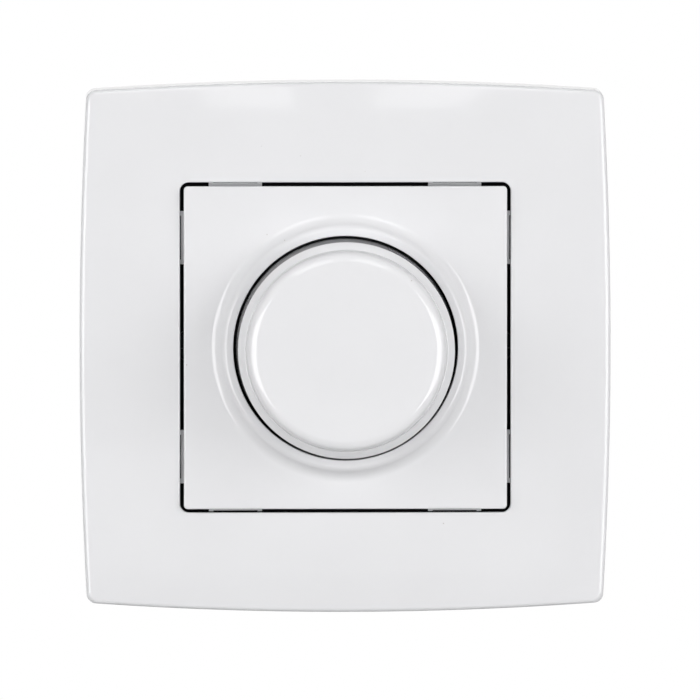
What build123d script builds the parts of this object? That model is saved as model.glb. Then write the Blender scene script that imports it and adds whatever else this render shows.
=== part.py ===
from build123d import *
import os

# A flush-mounted rotary dimmer switch with a square cover frame, piece by piece, in millimetres.
# Bench frame: x right, y up, z out of the wall. The wall's surface is z = 0 and the knob turns about z.
# Each piece is turned at export so that it stands up: the front faces -Y and +Z is up.

# Room left between pieces
close_play = 0.02           # pushed or screwed together
small_play = 0.1            # located by each other
free_play = 0.3             # kept clear of each other

# Cover frame
frame_size = 82.0           # across the middles of opposite sides
side_bow = 1.13             # how far the left and right sides bow out at their middles
top_bow = 1.38              # the same for the top and bottom sides
frame_corner_r = 1.5
frame_inner_corner_r = 0.6
frame_draft = 0.6           # lean of the outer walls, in degrees
frame_edge_r = 0.8
frame_wall = 2.0
dome_r = 650.0              # the whole front is a shallow dome
dome_top = 8.5              # the dome's crest, which the window cuts away
window_size = 50.9
window_corner_r = 1.35
window_edge_r = 0.3
window_wall = 1.4           # skirt round the window
window_lip_back = 6.8       # behind this the window widens
window_flare = 0.4          # how much wider each side of the window is at the skirt's back
skirt_back = 3.6            # where the skirts of frame and centre plate end
frame_rib_t = 1.2
frame_rib_back = 4.4

# Centre plate
plate_size = 49.9
plate_corner_r = 0.6
plate_front = 8.6
plate_edge_r = 0.25
plate_lip_t = 1.1           # only this much of the plate's edge fills the window
plate_set_back = 0.6        # the skirt stands this far inside the edge
plate_wall = 1.3
plate_t = 1.8
tab_offset = 16.9           # tabs in the gap, two on each side
tab_length = 8.2
tab_reach = 0.34
tab_end_length = 0.7
tab_end_reach = 0.46
tab_front = 6.6
tab_back = 5.2

# Collar on the centre plate
collar_hole_r = 17.3
collar_height = 1.35
collar_lip_r = 18.2         # where the top band starts to round over
collar_round_r = 1.1
collar_foot_r = 20.8
collar_edge_r = 0.15
collar_tube_wall = 1.3
collar_tube_back = 5.4

# Snap legs of the centre plate
leg_x = 21.5
leg_y = 13.0
leg_t = 1.4
leg_w = 5.0
leg_back = -1.7
hook_reach = 0.8
hook_play = 0.1

# Knob
knob_skirt_r = 16.7
knob_back = 7.5
knob_draft = 0.12           # the skirt is this much narrower at its back
crease_z = 16.2
crease_r = 0.2
shoulder_r = 15.65
shoulder_z = 16.9
shoulder_round_r = 0.25
knob_face_z = 19.6
face_crown_r = 230.0        # the face is slightly crowned
face_corner_r = 14.74       # the steep side would meet a flat face here
face_round_r = 0.8
knob_wall = 1.4
knob_top_t = 1.8
hub_r = 5.0
hub_back = 9.2
hub_slit_w = 1.2
hub_slit_end = 14.0
knob_rib_count = 6
knob_rib_t = 1.2
knob_rib_back = 13.6
clip_back = 10.0
clip_front = 12.2
clip_t = 0.6
clip_gap = 2.4

# Potentiometer
shaft_r = 3.0
shaft_front = 16.6
shaft_flat = 1.5            # distance of the knob's flat from the axis
shaft_flat_back = 9.0
shaft_play = 0.05
shaft_key = 2.2             # half the thickness over the two rear flats
shaft_tail_r = 2.0
shaft_tail_front = -6.4
shaft_tail_back = -8.3
bushing_r = 5.0
bushing_front = 6.9
nut_across = 14.0
nut_t = 2.0
nut_bevel_r = 2.4
washer_r = 8.0
washer_t = 0.5
can_r = 8.5
can_wall = 0.8
can_front = 0.4
wafer_front = -7.2
wafer_t = 1.2
wafer_hole_r = 3.3
wafer_tail_w = 12.0
wafer_tail_end = -11.6
rotor_r = 6.8
rotor_front = -1.6
rotor_back = -5.6
rotor_hub_r = 4.2
wiper_t = 0.4
wiper_w = 2.4
wiper_tip_r = 6.4
pin_pitch = 4.0
pin_y = -10.6
pin_w = 0.8
pin_t = 0.4

# Push switch behind the potentiometer
knob_travel = 1.5
switch_size = 13.4
switch_corner_r = 1.5
switch_bore_r = 3.5
switch_bore_front = -9.6
switch_bore_back = -14.4
plunger_stem_r = 2.2
plunger_front = -8.4
plunger_head_r = 3.2
plunger_head_front = -9.7
plunger_head_t = 1.0
plunger_play = 0.06
spring_r = 2.4
spring_wire_r = 0.2
spring_turns = 3

# Support plate
support_size = 70.0
support_t = 1.0
support_corner_r = 4.0
support_opening_r = 17.0
slot_spacing = 60.0
slot_w = 3.6
slot_length = 7.0
tongue_x = 31.0
tongue_y = 22.0
tongue_w = 6.0
tongue_t = 1.0
tongue_front = 4.6
tongue_notch = 3.6
tongue_hole_w = 3.2
tongue_hole_back = 2.4
tongue_hole_front = 3.8
post_t = 1.6
post_play = 0.12
post_back = 1.6

# Claws and their screws, named for the right-hand side
pivot_x = 19.8
pivot_z = -4.0
pivot_r = 0.75
pivot_play = 0.05
ear_y = 4.7
ear_t = 1.0
ear_half = 1.4
claw_t = 1.2
claw_half_w = 4.4
claw_arm_x = 27.0
claw_back = -16.0
claw_bend_r = 1.4
claw_toe = 1.8              # how far the toothed end leans out
claw_toe_z = 2.6
claw_teeth = 3
claw_tooth_depth = 1.1
claw_slot_in = 21.5
claw_slot_out = 25.75
claw_slot_w = 3.6
claw_screw_x = 23.5
claw_screw_r = 1.5
claw_screw_head_r = 2.6
claw_screw_head_t = 1.6
claw_screw_back = -14.0
claw_screw_play = 0.2

# Housing and lid
housing_w = 36.0
housing_h = 48.0
housing_corner_r = 8.0
housing_edge_r = 0.8
housing_back = -29.0
housing_wall = 1.8
lid_t = 1.6
lid_boss_r = 16.7
lid_boss_front = 2.2
lid_boss_wall = 1.8
lid_lip = 1.8
lid_lip_wall = 1.2
lid_lip_play = 0.15
fixing_x = 13.0
fixing_y = 19.5
fixing_boss_r = 2.6
fixing_pilot_r = 1.1
fixing_hole_r = 1.6
fixing_screw_r = 1.0
fixing_head_r = 2.3
fixing_head_t = 1.4
fixing_screw_back = -12.0
rail_y = 9.0
rail_w = 3.0
rail_reach = 1.5

# Circuit board and its front side
board_w = 31.5
board_h = 43.5
board_corner_r = 6.0
board_front = -15.5
board_t = 1.6
board_notch_r = 3.1
sink_w = 19.0
sink_y0 = 10.0
sink_y1 = 21.0
sink_t = 1.5
sink_fin_front = -4.0
triac_y = 14.3
triac_half_w = 5.0
triac_tab_x0 = -9.0
triac_body_x0 = -3.0
triac_body_x1 = 6.0
triac_tab_t = 1.3
triac_body_t = 4.4
triac_hole_x = -6.4
triac_hole_r = 1.7
triac_lead_pitch = 2.54
triac_lead_end = 10.4
triac_lead_w = 0.8
package_bevel = 0.4
capacitor_x0 = 9.4
capacitor_x1 = 14.8
capacitor_half_h = 7.0
capacitor_front = -5.0
fuse_x = -12.2
fuse_half = 10.0
fuse_r = 2.5
fuse_cap_r = 2.6
fuse_cap_length = 5.0
fuse_z = -11.6
fuse_clip_w = 3.4
fuse_clip_t = 0.5
fuse_foot = 1.0
fuse_mouth = 1.2
trimmer_x = -6.6
trimmer_y = -14.9
trimmer_size = 6.4
trimmer_t = 3.6
trimmer_dial_r = 2.6
trimmer_dial_t = 0.8
resistor_x = 5.0
resistor_top_y = -12.2
resistor_pitch = 3.0
resistor_count = 3
resistor_half = 3.2
resistor_r = 1.2
resistor_lead_r = 0.3
resistor_lead_half = 5.0
resistor_rise = 1.7
diac_x = 12.6
diac_y = -11.6
diac_r = 1.0
diac_half = 2.0
diac_lead_half = 3.4

# Rear side of the circuit board
choke_y = 9.5
choke_in_r = 4.8
choke_out_r = 8.6
choke_front = -18.6
choke_back = -25.2
choke_turns = 20
winding_t = 0.6
winding_w = 1.0
winding_play = 0.06
terminal_pitch = 6.6
terminal_half_w = 10.0
terminal_y0 = -21.6
terminal_y1 = -11.6
terminal_back = -26.8
pocket_half_w = 2.8
pocket_y0 = -20.6
pocket_y1 = -13.4
pocket_front = -18.6
cage_half_w = 2.5
cage_y0 = -20.2
cage_y1 = -14.0
cage_z0 = -25.4
cage_z1 = -19.8
wire_half_w = 1.8
wire_y0 = -17.9
wire_y1 = -14.9
entry_half_w = 2.0
entry_flare = 0.5
terminal_screw_r = 1.5
terminal_screw_y = -18.2
terminal_head_r = 2.0
terminal_head_y = -22.0
driver_hole_r = 2.4
screw_slot_w = 0.8
screw_slot_depth = 0.7

CENTRE_LOW = (Align.CENTER, Align.CENTER, Align.MIN)


def block(x0, x1, y0, y1, z0, z1):
    """A box between two opposite corners."""
    centre = Pos((x0 + x1) / 2, (y0 + y1) / 2, (z0 + z1) / 2)
    return centre * Box(x1 - x0, y1 - y0, z1 - z0)


def rod(radius, z0, z1, x=0.0, y=0.0):
    """A cylinder along z."""
    return Pos(x, y, (z0 + z1) / 2) * Cylinder(radius, z1 - z0)


def rod_along_y(radius, y0, y1, x, z):
    """A cylinder along y."""
    return Pos(x, (y0 + y1) / 2, z) * Rot(90, 0, 0) * Cylinder(radius, y1 - y0)


def rod_along_x(radius, x0, x1, y, z):
    """A cylinder along x."""
    return Pos((x0 + x1) / 2, y, z) * Rot(0, 90, 0) * Cylinder(radius, x1 - x0)


def prism(sketch, z0, z1):
    """A flat outline raised along z."""
    return extrude(Pos(0, 0, z0) * sketch, amount=z1 - z0)


def rounded(sketch, corners):
    """An outline whose corners at some points are rounded, each to its own radius."""
    for point, radius in corners:
        sketch = fillet(sketch.vertices().sort_by_distance(Vector(*point))[0], radius)
    return sketch


def turned(sketch):
    """A profile of radius and height, turned about the knob's axis."""
    return revolve(Plane.XZ * sketch, Axis.Z)


def at_corners(shape, x, y):
    """Four copies of a shape, one in each corner."""
    return [Pos(i * x, j * y, 0) * shape for i in (-1, 1) for j in (-1, 1)]


def four_ways(shape):
    """A shape and its three mirror images left to right and top to bottom."""
    pair = [shape, mirror(shape, about=Plane.YZ)]
    return pair + [mirror(one, about=Plane.XZ) for one in pair]


def quarter_turns(shape):
    """A shape repeated on all four sides."""
    return [Rot(0, 0, 90 * side) * shape for side in range(4)]


def frame_outline(inset, round_r):
    """The bowed square of the cover frame, moved in by inset, with rounded corners."""
    half = frame_size / 2 - inset
    corner_x = half - side_bow
    corner_y = half - top_bow
    sides = [
        ThreePointArc((-corner_x, -corner_y), (0, -half), (corner_x, -corner_y)),
        ThreePointArc((corner_x, -corner_y), (half, 0), (corner_x, corner_y)),
        ThreePointArc((corner_x, corner_y), (0, half), (-corner_x, corner_y)),
        ThreePointArc((-corner_x, corner_y), (-half, 0), (-corner_x, -corner_y)),
    ]
    sketch = make_face(sides)
    return fillet(sketch.vertices(), round_r)


def dome(crest):
    """The ball whose top is the frame's front; its poles lie off to the sides."""
    return Pos(0, 0, crest - dome_r) * Rot(90, 0, 0) * Sphere(dome_r)


def clip_post():
    """A post in the frame whose nib goes into a tongue's hole; it is cut to the frame's hollow."""
    inner = tongue_x + tongue_t / 2 + post_play
    low, high = tongue_y - tongue_w / 2, tongue_y + tongue_w / 2
    post = block(inner, inner + post_t, low, high, post_back, dome_top)
    nib_half = tongue_hole_w / 2 - post_play
    nib = block(
        tongue_x, inner, tongue_y - nib_half, tongue_y + nib_half,
        tongue_hole_back + post_play, tongue_hole_front - post_play,
    )
    return post + nib


def window_opening():
    """What is cut out for the centre plate: straight at the lip, wider towards the back."""
    wide = window_size + 2 * window_flare
    lip = RectangleRounded(window_size, window_size, window_corner_r)
    back = RectangleRounded(wide, wide, window_corner_r + window_flare)
    opening = prism(lip, window_lip_back, dome_top)
    return opening + loft([Pos(0, 0, skirt_back) * back, Pos(0, 0, window_lip_back) * lip])


def make_cover_frame():
    """Domed frame, hollow at the back, with a skirt round its window, ribs and clip posts."""
    frame = extrude(frame_outline(0, frame_corner_r), amount=dome_top, taper=frame_draft) & dome(dome_top)
    front = frame.faces().filter_by(GeomType.SPHERE).sort_by(Axis.Z)[-1]
    frame = fillet(front.outer_wire().edges(), frame_edge_r)
    inside = frame_outline(frame_wall, frame_inner_corner_r)
    hollow = extrude(inside, amount=dome_top) & dome(dome_top - frame_wall)
    skirt_size = window_size + 2 * window_wall
    skirt = prism(RectangleRounded(skirt_size, skirt_size, window_corner_r), skirt_back, dome_top)
    rib = block(
        window_size / 2, frame_size / 2, tab_offset - frame_rib_t / 2, tab_offset + frame_rib_t / 2,
        frame_rib_back, dome_top,
    )
    ribs = quarter_turns(rib + mirror(rib, about=Plane.XZ))
    for kept in (skirt, ribs, four_ways(clip_post())):
        hollow -= kept
    frame -= hollow
    frame -= window_opening()
    front = frame.faces().filter_by(GeomType.SPHERE).sort_by(Axis.Z)[-1]
    return fillet(front.inner_wires()[0].edges(), window_edge_r)


def collar_profile():
    """Section of the collar: flat top band, tight round, broad hollow foot."""
    top = plate_front + collar_height
    across = collar_foot_r - collar_lip_r
    sweep_r = (across**2 + collar_height**2 - 2 * collar_round_r * collar_height) / (2 * collar_height)
    lip_centre = Vector(collar_lip_r, top - collar_round_r)
    foot_centre = Vector(collar_foot_r, plate_front + sweep_r)
    toward_foot = (foot_centre - lip_centre).normalized()
    meeting = lip_centre + toward_foot * collar_round_r
    lip_middle = lip_centre + (toward_foot + Vector(0, 1)).normalized() * collar_round_r
    foot_middle = foot_centre - (toward_foot + Vector(0, 1)).normalized() * sweep_r
    root = plate_front - plate_t / 2
    band_start = (collar_lip_r, top)
    foot_end = (collar_foot_r, plate_front)
    outline = [
        Line((collar_hole_r, root), (collar_hole_r, top - collar_edge_r)),
        Line((collar_hole_r, top - collar_edge_r), (collar_hole_r + collar_edge_r, top)),
        Line((collar_hole_r + collar_edge_r, top), band_start),
        ThreePointArc(band_start, lip_middle, meeting),
        ThreePointArc(meeting, foot_middle, foot_end),
        Line(foot_end, (collar_foot_r, root)),
        Line((collar_foot_r, root), (collar_hole_r, root)),
    ]
    return make_face(outline)


def centring_tabs():
    """Two tabs on the right-hand edge of the plate; each bears on the frame at its two ends."""
    edge = plate_size / 2
    root = edge - plate_set_back - plate_wall / 2
    pads = []
    for middle in (-tab_offset, tab_offset):
        low = middle - tab_length / 2
        high = middle + tab_length / 2
        pads.append(block(root, edge + tab_reach, low, high, tab_back, tab_front))
        for start in (low, high - tab_end_length):
            end = start + tab_end_length
            pads.append(block(edge, edge + tab_end_reach, start, end, tab_back, tab_front))
    return Part() + pads


def snap_leg():
    """A leg with a hook that grips behind the support plate."""
    inner = leg_x - leg_t / 2
    outer = leg_x + leg_t / 2
    section = [
        (inner, plate_front - plate_t), (inner, leg_back), (outer, leg_back),
        (outer + hook_reach, -hook_play - hook_reach / 2), (outer + hook_reach, -hook_play),
        (outer, -hook_play), (outer, plate_front - plate_t),
    ]
    sketch = Plane.XZ * make_face(Polyline(*section, close=True))
    return extrude(Pos(0, leg_y, 0) * sketch, amount=leg_w / 2, both=True)


def make_centre_plate():
    """Square plate with a thin edge, set-back skirt, collar, centring tabs and snap legs."""
    edge_back = plate_front - plate_lip_t
    plate = prism(RectangleRounded(plate_size, plate_size, plate_corner_r), edge_back, plate_front)
    plate = fillet(plate.faces().sort_by(Axis.Z)[-1].edges(), plate_edge_r)
    outside = plate_size - 2 * plate_set_back
    inside = outside - 2 * plate_wall
    plate += prism(Rectangle(outside, outside), skirt_back, edge_back)
    plate -= prism(Rectangle(inside, inside), skirt_back, plate_front - plate_t)
    plate += turned(collar_profile())
    plate += rod(collar_hole_r + collar_tube_wall, collar_tube_back, plate_front - plate_t / 2)
    plate -= rod(collar_hole_r, 0, plate_front + collar_height)
    plate += quarter_turns(centring_tabs())
    return plate + four_ways(snap_leg())


def knob_outside():
    """The knob before it is hollowed: skirt, crease, shoulder, steep side and crowned face."""
    side = [
        (0, knob_back), (knob_skirt_r - knob_draft, knob_back), (knob_skirt_r, crease_z),
        (shoulder_r, shoulder_z), (face_corner_r, knob_face_z), (0, knob_face_z),
    ]
    half = make_face(Polyline(*side, close=True))
    body = turned(rounded(half, [(side[2], crease_r), (side[3], shoulder_round_r)]))
    body &= Pos(0, 0, knob_face_z - face_crown_r) * Sphere(face_crown_r)
    rim = [edge for edge in body.edges() if edge.is_closed and edge.center().Z > shoulder_z + face_round_r]
    return fillet(rim, face_round_r)


def make_knob():
    """Hollow knob with a split hub on the shaft and ribs under its face."""
    inner_top = knob_face_z - knob_top_t
    inside = make_face(Polyline(
        (0, knob_back), (knob_skirt_r - knob_wall, knob_back),
        (knob_skirt_r - knob_wall, crease_z - knob_wall),
        (shoulder_r - knob_wall, shoulder_z - knob_wall), (face_corner_r - knob_wall, inner_top),
        (0, inner_top), close=True,
    ))
    hollow = turned(inside)
    hub = rod(hub_r, hub_back, knob_face_z)
    hub -= rod(hub_r, clip_back, clip_front) - rod(hub_r - clip_t, clip_back, clip_front)
    slit = block(-hub_slit_w / 2, hub_slit_w / 2, -hub_r, hub_r, hub_back, hub_slit_end)
    rib = block(hub_r - clip_t, knob_skirt_r, -knob_rib_t / 2, knob_rib_t / 2, knob_rib_back, knob_face_z)
    ribs = [Rot(0, 0, 360 * (i + 0.5) / knob_rib_count) * rib for i in range(knob_rib_count)]
    hub -= slit
    knob = knob_outside() - (hollow - ([hub] + ribs))
    return knob - shaft_front_end(shaft_front + shaft_play, shaft_r + shaft_play / 2, shaft_play / 2)


def shaft_front_end(front, radius, play):
    """The flattened end of the shaft that the knob sits on, grown by play."""
    flat = block(-radius, radius, shaft_flat + play, radius + 1, shaft_flat_back, front)
    return rod(radius, shaft_flat_back, front) - flat


def make_knob_spring_clip():
    """Open spring ring in the hub's groove."""
    ring = rod(hub_r, clip_back, clip_front) - rod(hub_r - clip_t, clip_back, clip_front)
    return ring - block(0, hub_r + 1, -clip_gap / 2, clip_gap / 2, clip_back, clip_front)


def make_pot_shaft():
    """Turned shaft: flat for the knob, two flats for the wiper, thin tail for the switch."""
    shaft = rod(shaft_r, shaft_tail_front, shaft_flat_back) + shaft_front_end(shaft_front, shaft_r, 0)
    flats_front = rotor_front + knob_travel + free_play
    for side in (-1, 1):
        near = side * shaft_key
        far = side * (shaft_r + 1)
        shaft -= block(min(near, far), max(near, far), -shaft_r, shaft_r, shaft_tail_front, flats_front)
    return shaft + rod(shaft_tail_r, shaft_tail_back, shaft_tail_front)


def make_pot_bushing():
    """Threaded neck, plain here, that the shaft turns and slides in."""
    neck = rod(bushing_r, can_front, bushing_front) - rod(shaft_r + shaft_play, can_front, bushing_front)
    return chamfer(neck.faces().sort_by(Axis.Z)[-1].outer_wire().edges(), 0.5)


def make_bushing_washer():
    """Flat washer under the nut."""
    back = lid_boss_front
    return rod(washer_r, back, back + washer_t) - rod(bushing_r + small_play, back, back + washer_t)


def make_bushing_nut():
    """Thin hexagon nut on the neck."""
    back = lid_boss_front + washer_t
    hexagon = RegularPolygon(nut_across / 2, 6, major_radius=False)
    nut = prism(hexagon, back, back + nut_t) - rod(bushing_r + close_play, back, back + nut_t)
    wide_r = nut_across / 2 + nut_bevel_r
    bevel = Pos(0, 0, back) * Cone(wide_r, wide_r - nut_bevel_r, nut_t, align=CENTRE_LOW)
    return nut & bevel


def make_pot_can():
    """Round metal can, open at the back, with a clearance hole for the shaft."""
    can = rod(can_r, wafer_front, can_front)
    can = fillet(can.faces().sort_by(Axis.Z)[-1].edges(), can_wall / 2)
    can -= rod(can_r - can_wall, wafer_front, can_front - can_wall)
    return can - rod(shaft_r + free_play, wafer_front, can_front)


def make_track_wafer():
    """Board that carries the resistance track, with a tail for its pins."""
    back = wafer_front - wafer_t
    wafer = rod(can_r, back, wafer_front)
    wafer += block(-wafer_tail_w / 2, wafer_tail_w / 2, wafer_tail_end, 0, back, wafer_front)
    wafer -= rod(wafer_hole_r, back, wafer_front)
    for pin in pins(pin_w + small_play, pin_t + small_play):
        wafer -= pin
    return wafer


def pins(width, thickness):
    """The three pins from the wafer's tail to the circuit board."""
    found = []
    for i in (-1, 0, 1):
        x = i * pin_pitch
        found.append(block(
            x - width / 2, x + width / 2, pin_y - thickness / 2, pin_y + thickness / 2,
            board_front, wafer_front,
        ))
    return found


def make_pot_pins():
    """Three flat pins."""
    return Part() + pins(pin_w, pin_t)


def make_wiper_rotor():
    """Wheel that turns with the shaft while the shaft slides through it."""
    rotor = rod(rotor_r, rotor_back, (rotor_front + rotor_back) / 2)
    rotor += rod(rotor_hub_r, rotor_back, rotor_front)
    bore = rod(shaft_r + shaft_play, rotor_back, rotor_front)
    half = shaft_key + shaft_play
    bore &= block(-half, half, -rotor_r, rotor_r, rotor_back, rotor_front)
    return rotor - bore


def make_wiper_contact():
    """Springy finger on the back of the rotor, bent towards the track."""
    back = rotor_back - wiper_t
    half_w = wiper_w / 2
    finger = block(rotor_hub_r, wiper_tip_r, -half_w, half_w, back, rotor_back)
    tip = block(wiper_tip_r - wiper_t, wiper_tip_r, -half_w, half_w, wafer_front + small_play, back)
    return finger + tip


def make_switch_body():
    """Moulded block with the plunger's bore."""
    front = wafer_front - wafer_t
    body = prism(RectangleRounded(switch_size, switch_size, switch_corner_r), board_front, front)
    body -= rod(switch_bore_r, switch_bore_back, switch_bore_front)
    return body - rod(plunger_stem_r + plunger_play, switch_bore_front, front)


def make_switch_plunger():
    """Stem that the shaft's tail pushes, with a head that the spring bears on."""
    head_back = plunger_head_front - plunger_head_t
    stem = rod(plunger_stem_r, plunger_head_front, plunger_front)
    return stem + rod(plunger_head_r, head_back, plunger_head_front)


def make_plunger_spring():
    """Coil spring between the plunger's head and the end of the bore."""
    space = plunger_head_front - plunger_head_t - switch_bore_back
    height = space - 2 * spring_wire_r - small_play
    path = Helix(height / spring_turns, height, spring_r)
    wire = Plane(path @ 0, z_dir=path % 0) * Circle(spring_wire_r)
    return Pos(0, 0, switch_bore_back + spring_wire_r + small_play / 2) * sweep(wire, path)


def claw_window():
    """Where the right-hand ears are folded back out of the support plate."""
    return block(pivot_x - ear_half, pivot_x + ear_half, -ear_y, ear_y, 0, support_t)


def claw_ears():
    """The two right-hand ears, rounded at the back and bored for the claw's pivot."""
    side = Pos(pivot_x, pivot_z) * Circle(ear_half)
    side += Pos(pivot_x, pivot_z / 2) * Rectangle(2 * ear_half, -pivot_z)
    side += Pos(pivot_x, support_t / 2) * Rectangle(2 * ear_half, support_t)
    side -= Pos(pivot_x, pivot_z) * Circle(pivot_r + pivot_play)
    upright = extrude(Plane.XZ * side, amount=-ear_t)
    upper = Pos(0, ear_y, 0) * upright
    return [upper, mirror(upper, about=Plane.XZ)]


def tongue():
    """A tongue folded forward that the frame clips to, with its hole."""
    upright = block(
        tongue_x - tongue_t / 2, tongue_x + tongue_t / 2, tongue_y - tongue_w / 2, tongue_y + tongue_w / 2,
        0, tongue_front,
    )
    return upright - block(
        tongue_x - tongue_t, tongue_x + tongue_t, tongue_y - tongue_hole_w / 2, tongue_y + tongue_hole_w / 2,
        tongue_hole_back, tongue_hole_front,
    )


def make_support_plate():
    """Stamped steel plate with slots at the wall box's screw spacing, ears and tongues."""
    plate = prism(RectangleRounded(support_size, support_size, support_corner_r), 0, support_t)
    plate -= rod(support_opening_r, 0, support_t)
    slot = prism(Pos(slot_spacing / 2, 0) * SlotOverall(slot_length, slot_w), 0, support_t)
    plate -= quarter_turns(slot)
    notch = block(
        tongue_x - tongue_t / 2 - tongue_notch, tongue_x - tongue_t / 2,
        tongue_y - tongue_w / 2, tongue_y + tongue_w / 2, 0, support_t,
    )
    leg_hole = block(
        leg_x - leg_t / 2 - free_play, leg_x + leg_t / 2 + free_play,
        leg_y - leg_w / 2 - free_play, leg_y + leg_w / 2 + free_play,
        0, support_t,
    )
    plate -= four_ways(notch) + four_ways(leg_hole)
    plate -= at_corners(rod(fixing_hole_r, 0, support_t), fixing_x, fixing_y)
    plate += four_ways(tongue())
    for right_hand in (claw_window(), rod(claw_screw_r + claw_screw_play, 0, support_t, claw_screw_x)):
        plate -= [right_hand, mirror(right_hand, about=Plane.YZ)]
    for ear in claw_ears():
        plate += [ear, mirror(ear, about=Plane.YZ)]
    return plate


def make_claw():
    """Right-hand claw: flange under the screw, arm to the back, toothed toe that leans out."""
    flange_start = (pivot_x - pivot_r, pivot_z)
    route = FilletPolyline(
        flange_start, (claw_arm_x, pivot_z), (claw_arm_x, claw_back + claw_toe_z),
        (claw_arm_x + claw_toe, claw_back), radius=claw_bend_r,
    )
    claw = extrude(Plane.XZ * trace(route, claw_t), amount=claw_half_w, both=True)
    slot_middle = (claw_slot_in + claw_slot_out) / 2
    slot = Pos(slot_middle, 0) * Rectangle(claw_slot_out - claw_slot_in, claw_slot_w)
    claw -= prism(slot, pivot_z - claw_t, pivot_z + claw_t)
    pitch = 2 * claw_half_w / claw_teeth
    for i in range(claw_teeth - 1):
        y = -claw_half_w + (i + 1) * pitch
        notch = make_face(Polyline(
            (y, claw_back + claw_tooth_depth), (y + pitch / 2, claw_back - claw_t),
            (y - pitch / 2, claw_back - claw_t), close=True,
        ))
        claw -= extrude(Plane.YZ * notch, amount=claw_arm_x + 2 * claw_toe)
    for side in (-1, 1):
        near = side * (claw_half_w - claw_t)
        far = side * (ear_y + ear_t)
        claw += rod_along_y(pivot_r, min(near, far), max(near, far), pivot_x, pivot_z)
    return claw


def slotted_screw(radius, head_r, head_t, back, seat):
    """A cheese-head screw along z with a driver slot."""
    top = seat + head_t
    screw = rod(radius, back, seat) + rod(head_r, seat, top)
    return screw - block(
        -head_r, head_r, -screw_slot_w / 2, screw_slot_w / 2, top - screw_slot_depth, top,
    )


def make_claw_screw():
    """Right-hand claw screw."""
    seat = support_t + small_play / 2
    screw = slotted_screw(claw_screw_r, claw_screw_head_r, claw_screw_head_t, claw_screw_back, seat)
    return Pos(claw_screw_x, 0, 0) * screw


def make_plate_screws():
    """Four screws through plate and lid into the housing."""
    screw = slotted_screw(fixing_screw_r, fixing_head_r, fixing_head_t, fixing_screw_back, support_t)
    return Part() + at_corners(screw, fixing_x, fixing_y)


def housing_outline(shrink):
    """The housing's outline, moved in by shrink."""
    return RectangleRounded(housing_w - 2 * shrink, housing_h - 2 * shrink, housing_corner_r - shrink)


def terminal_places():
    """Where the three terminals are, across the housing."""
    return [i * terminal_pitch for i in (-1, 0, 1)]


def wire_entry(x):
    """A flared rectangular wire entry through the housing's floor."""
    middle = (wire_y0 + wire_y1) / 2
    height = wire_y1 - wire_y0 + 2 * (entry_half_w - wire_half_w)
    outer = Rectangle(2 * (entry_half_w + entry_flare), height + 2 * entry_flare)
    inner = Rectangle(2 * entry_half_w, height)
    floor = housing_back + housing_wall
    return loft([Pos(x, middle, housing_back) * outer, Pos(x, middle, floor) * inner])


def make_housing():
    """Deep moulded cup with screw bosses, board rails, wire entries and driver holes."""
    front = -lid_t
    floor = housing_back + housing_wall
    cup = prism(housing_outline(0), housing_back, front)
    cup = fillet(cup.faces().sort_by(Axis.Z)[0].edges(), housing_edge_r)
    inside = prism(housing_outline(housing_wall), floor, front)
    bosses = at_corners(rod(fixing_boss_r, floor, front - lid_lip), fixing_x, fixing_y)
    rail_outer = housing_w / 2 - housing_wall
    rail = block(
        rail_outer - rail_reach, rail_outer, rail_y - rail_w / 2, rail_y + rail_w / 2,
        floor, board_front - board_t,
    )
    cup -= inside - (bosses + four_ways(rail))
    cup -= at_corners(rod(fixing_pilot_r, fixing_screw_back - 1, front), fixing_x, fixing_y)
    screw_z = (cage_z0 + cage_z1) / 2
    for x in terminal_places():
        cup -= wire_entry(x)
        cup -= rod_along_y(driver_hole_r, -housing_h / 2, -housing_h / 2 + housing_wall, x, screw_z)
    return cup


def make_housing_lid():
    """Lid with a round boss that fills the plate's opening and a lip that locates it in the cup."""
    lid = prism(housing_outline(0), -lid_t, 0)
    lid += rod(lid_boss_r, -lid_t, lid_boss_front)
    lid -= rod(lid_boss_r - lid_boss_wall, -lid_t, lid_boss_front - lid_boss_wall)
    lip_out = housing_outline(housing_wall + lid_lip_play)
    lip_in = housing_outline(housing_wall + lid_lip_play + lid_lip_wall)
    lip = prism(lip_out, -lid_t - lid_lip, -lid_t) - prism(lip_in, -lid_t - lid_lip, -lid_t)
    lip -= at_corners(rod(fixing_boss_r + free_play, -lid_t - lid_lip, -lid_t), fixing_x, fixing_y)
    lid += lip
    lid -= at_corners(rod(fixing_hole_r, -lid_t, 0), fixing_x, fixing_y)
    return lid - rod(bushing_r + small_play, -lid_t, lid_boss_front)


def make_circuit_board():
    """Board with corner notches for the bosses."""
    back = board_front - board_t
    board = prism(RectangleRounded(board_w, board_h, board_corner_r), back, board_front)
    return board - at_corners(rod(board_notch_r, back, board_front), fixing_x, fixing_y)


def make_heat_sink():
    """Angle of aluminium that the triac is screwed to."""
    base = block(-sink_w / 2, sink_w / 2, sink_y0, sink_y1, board_front, board_front + sink_t)
    fin = block(-sink_w / 2, sink_w / 2, sink_y1 - sink_t, sink_y1, board_front, sink_fin_front)
    sink = base + fin
    return sink - rod(fixing_pilot_r, board_front, board_front + sink_t, triac_hole_x, triac_y)


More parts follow.
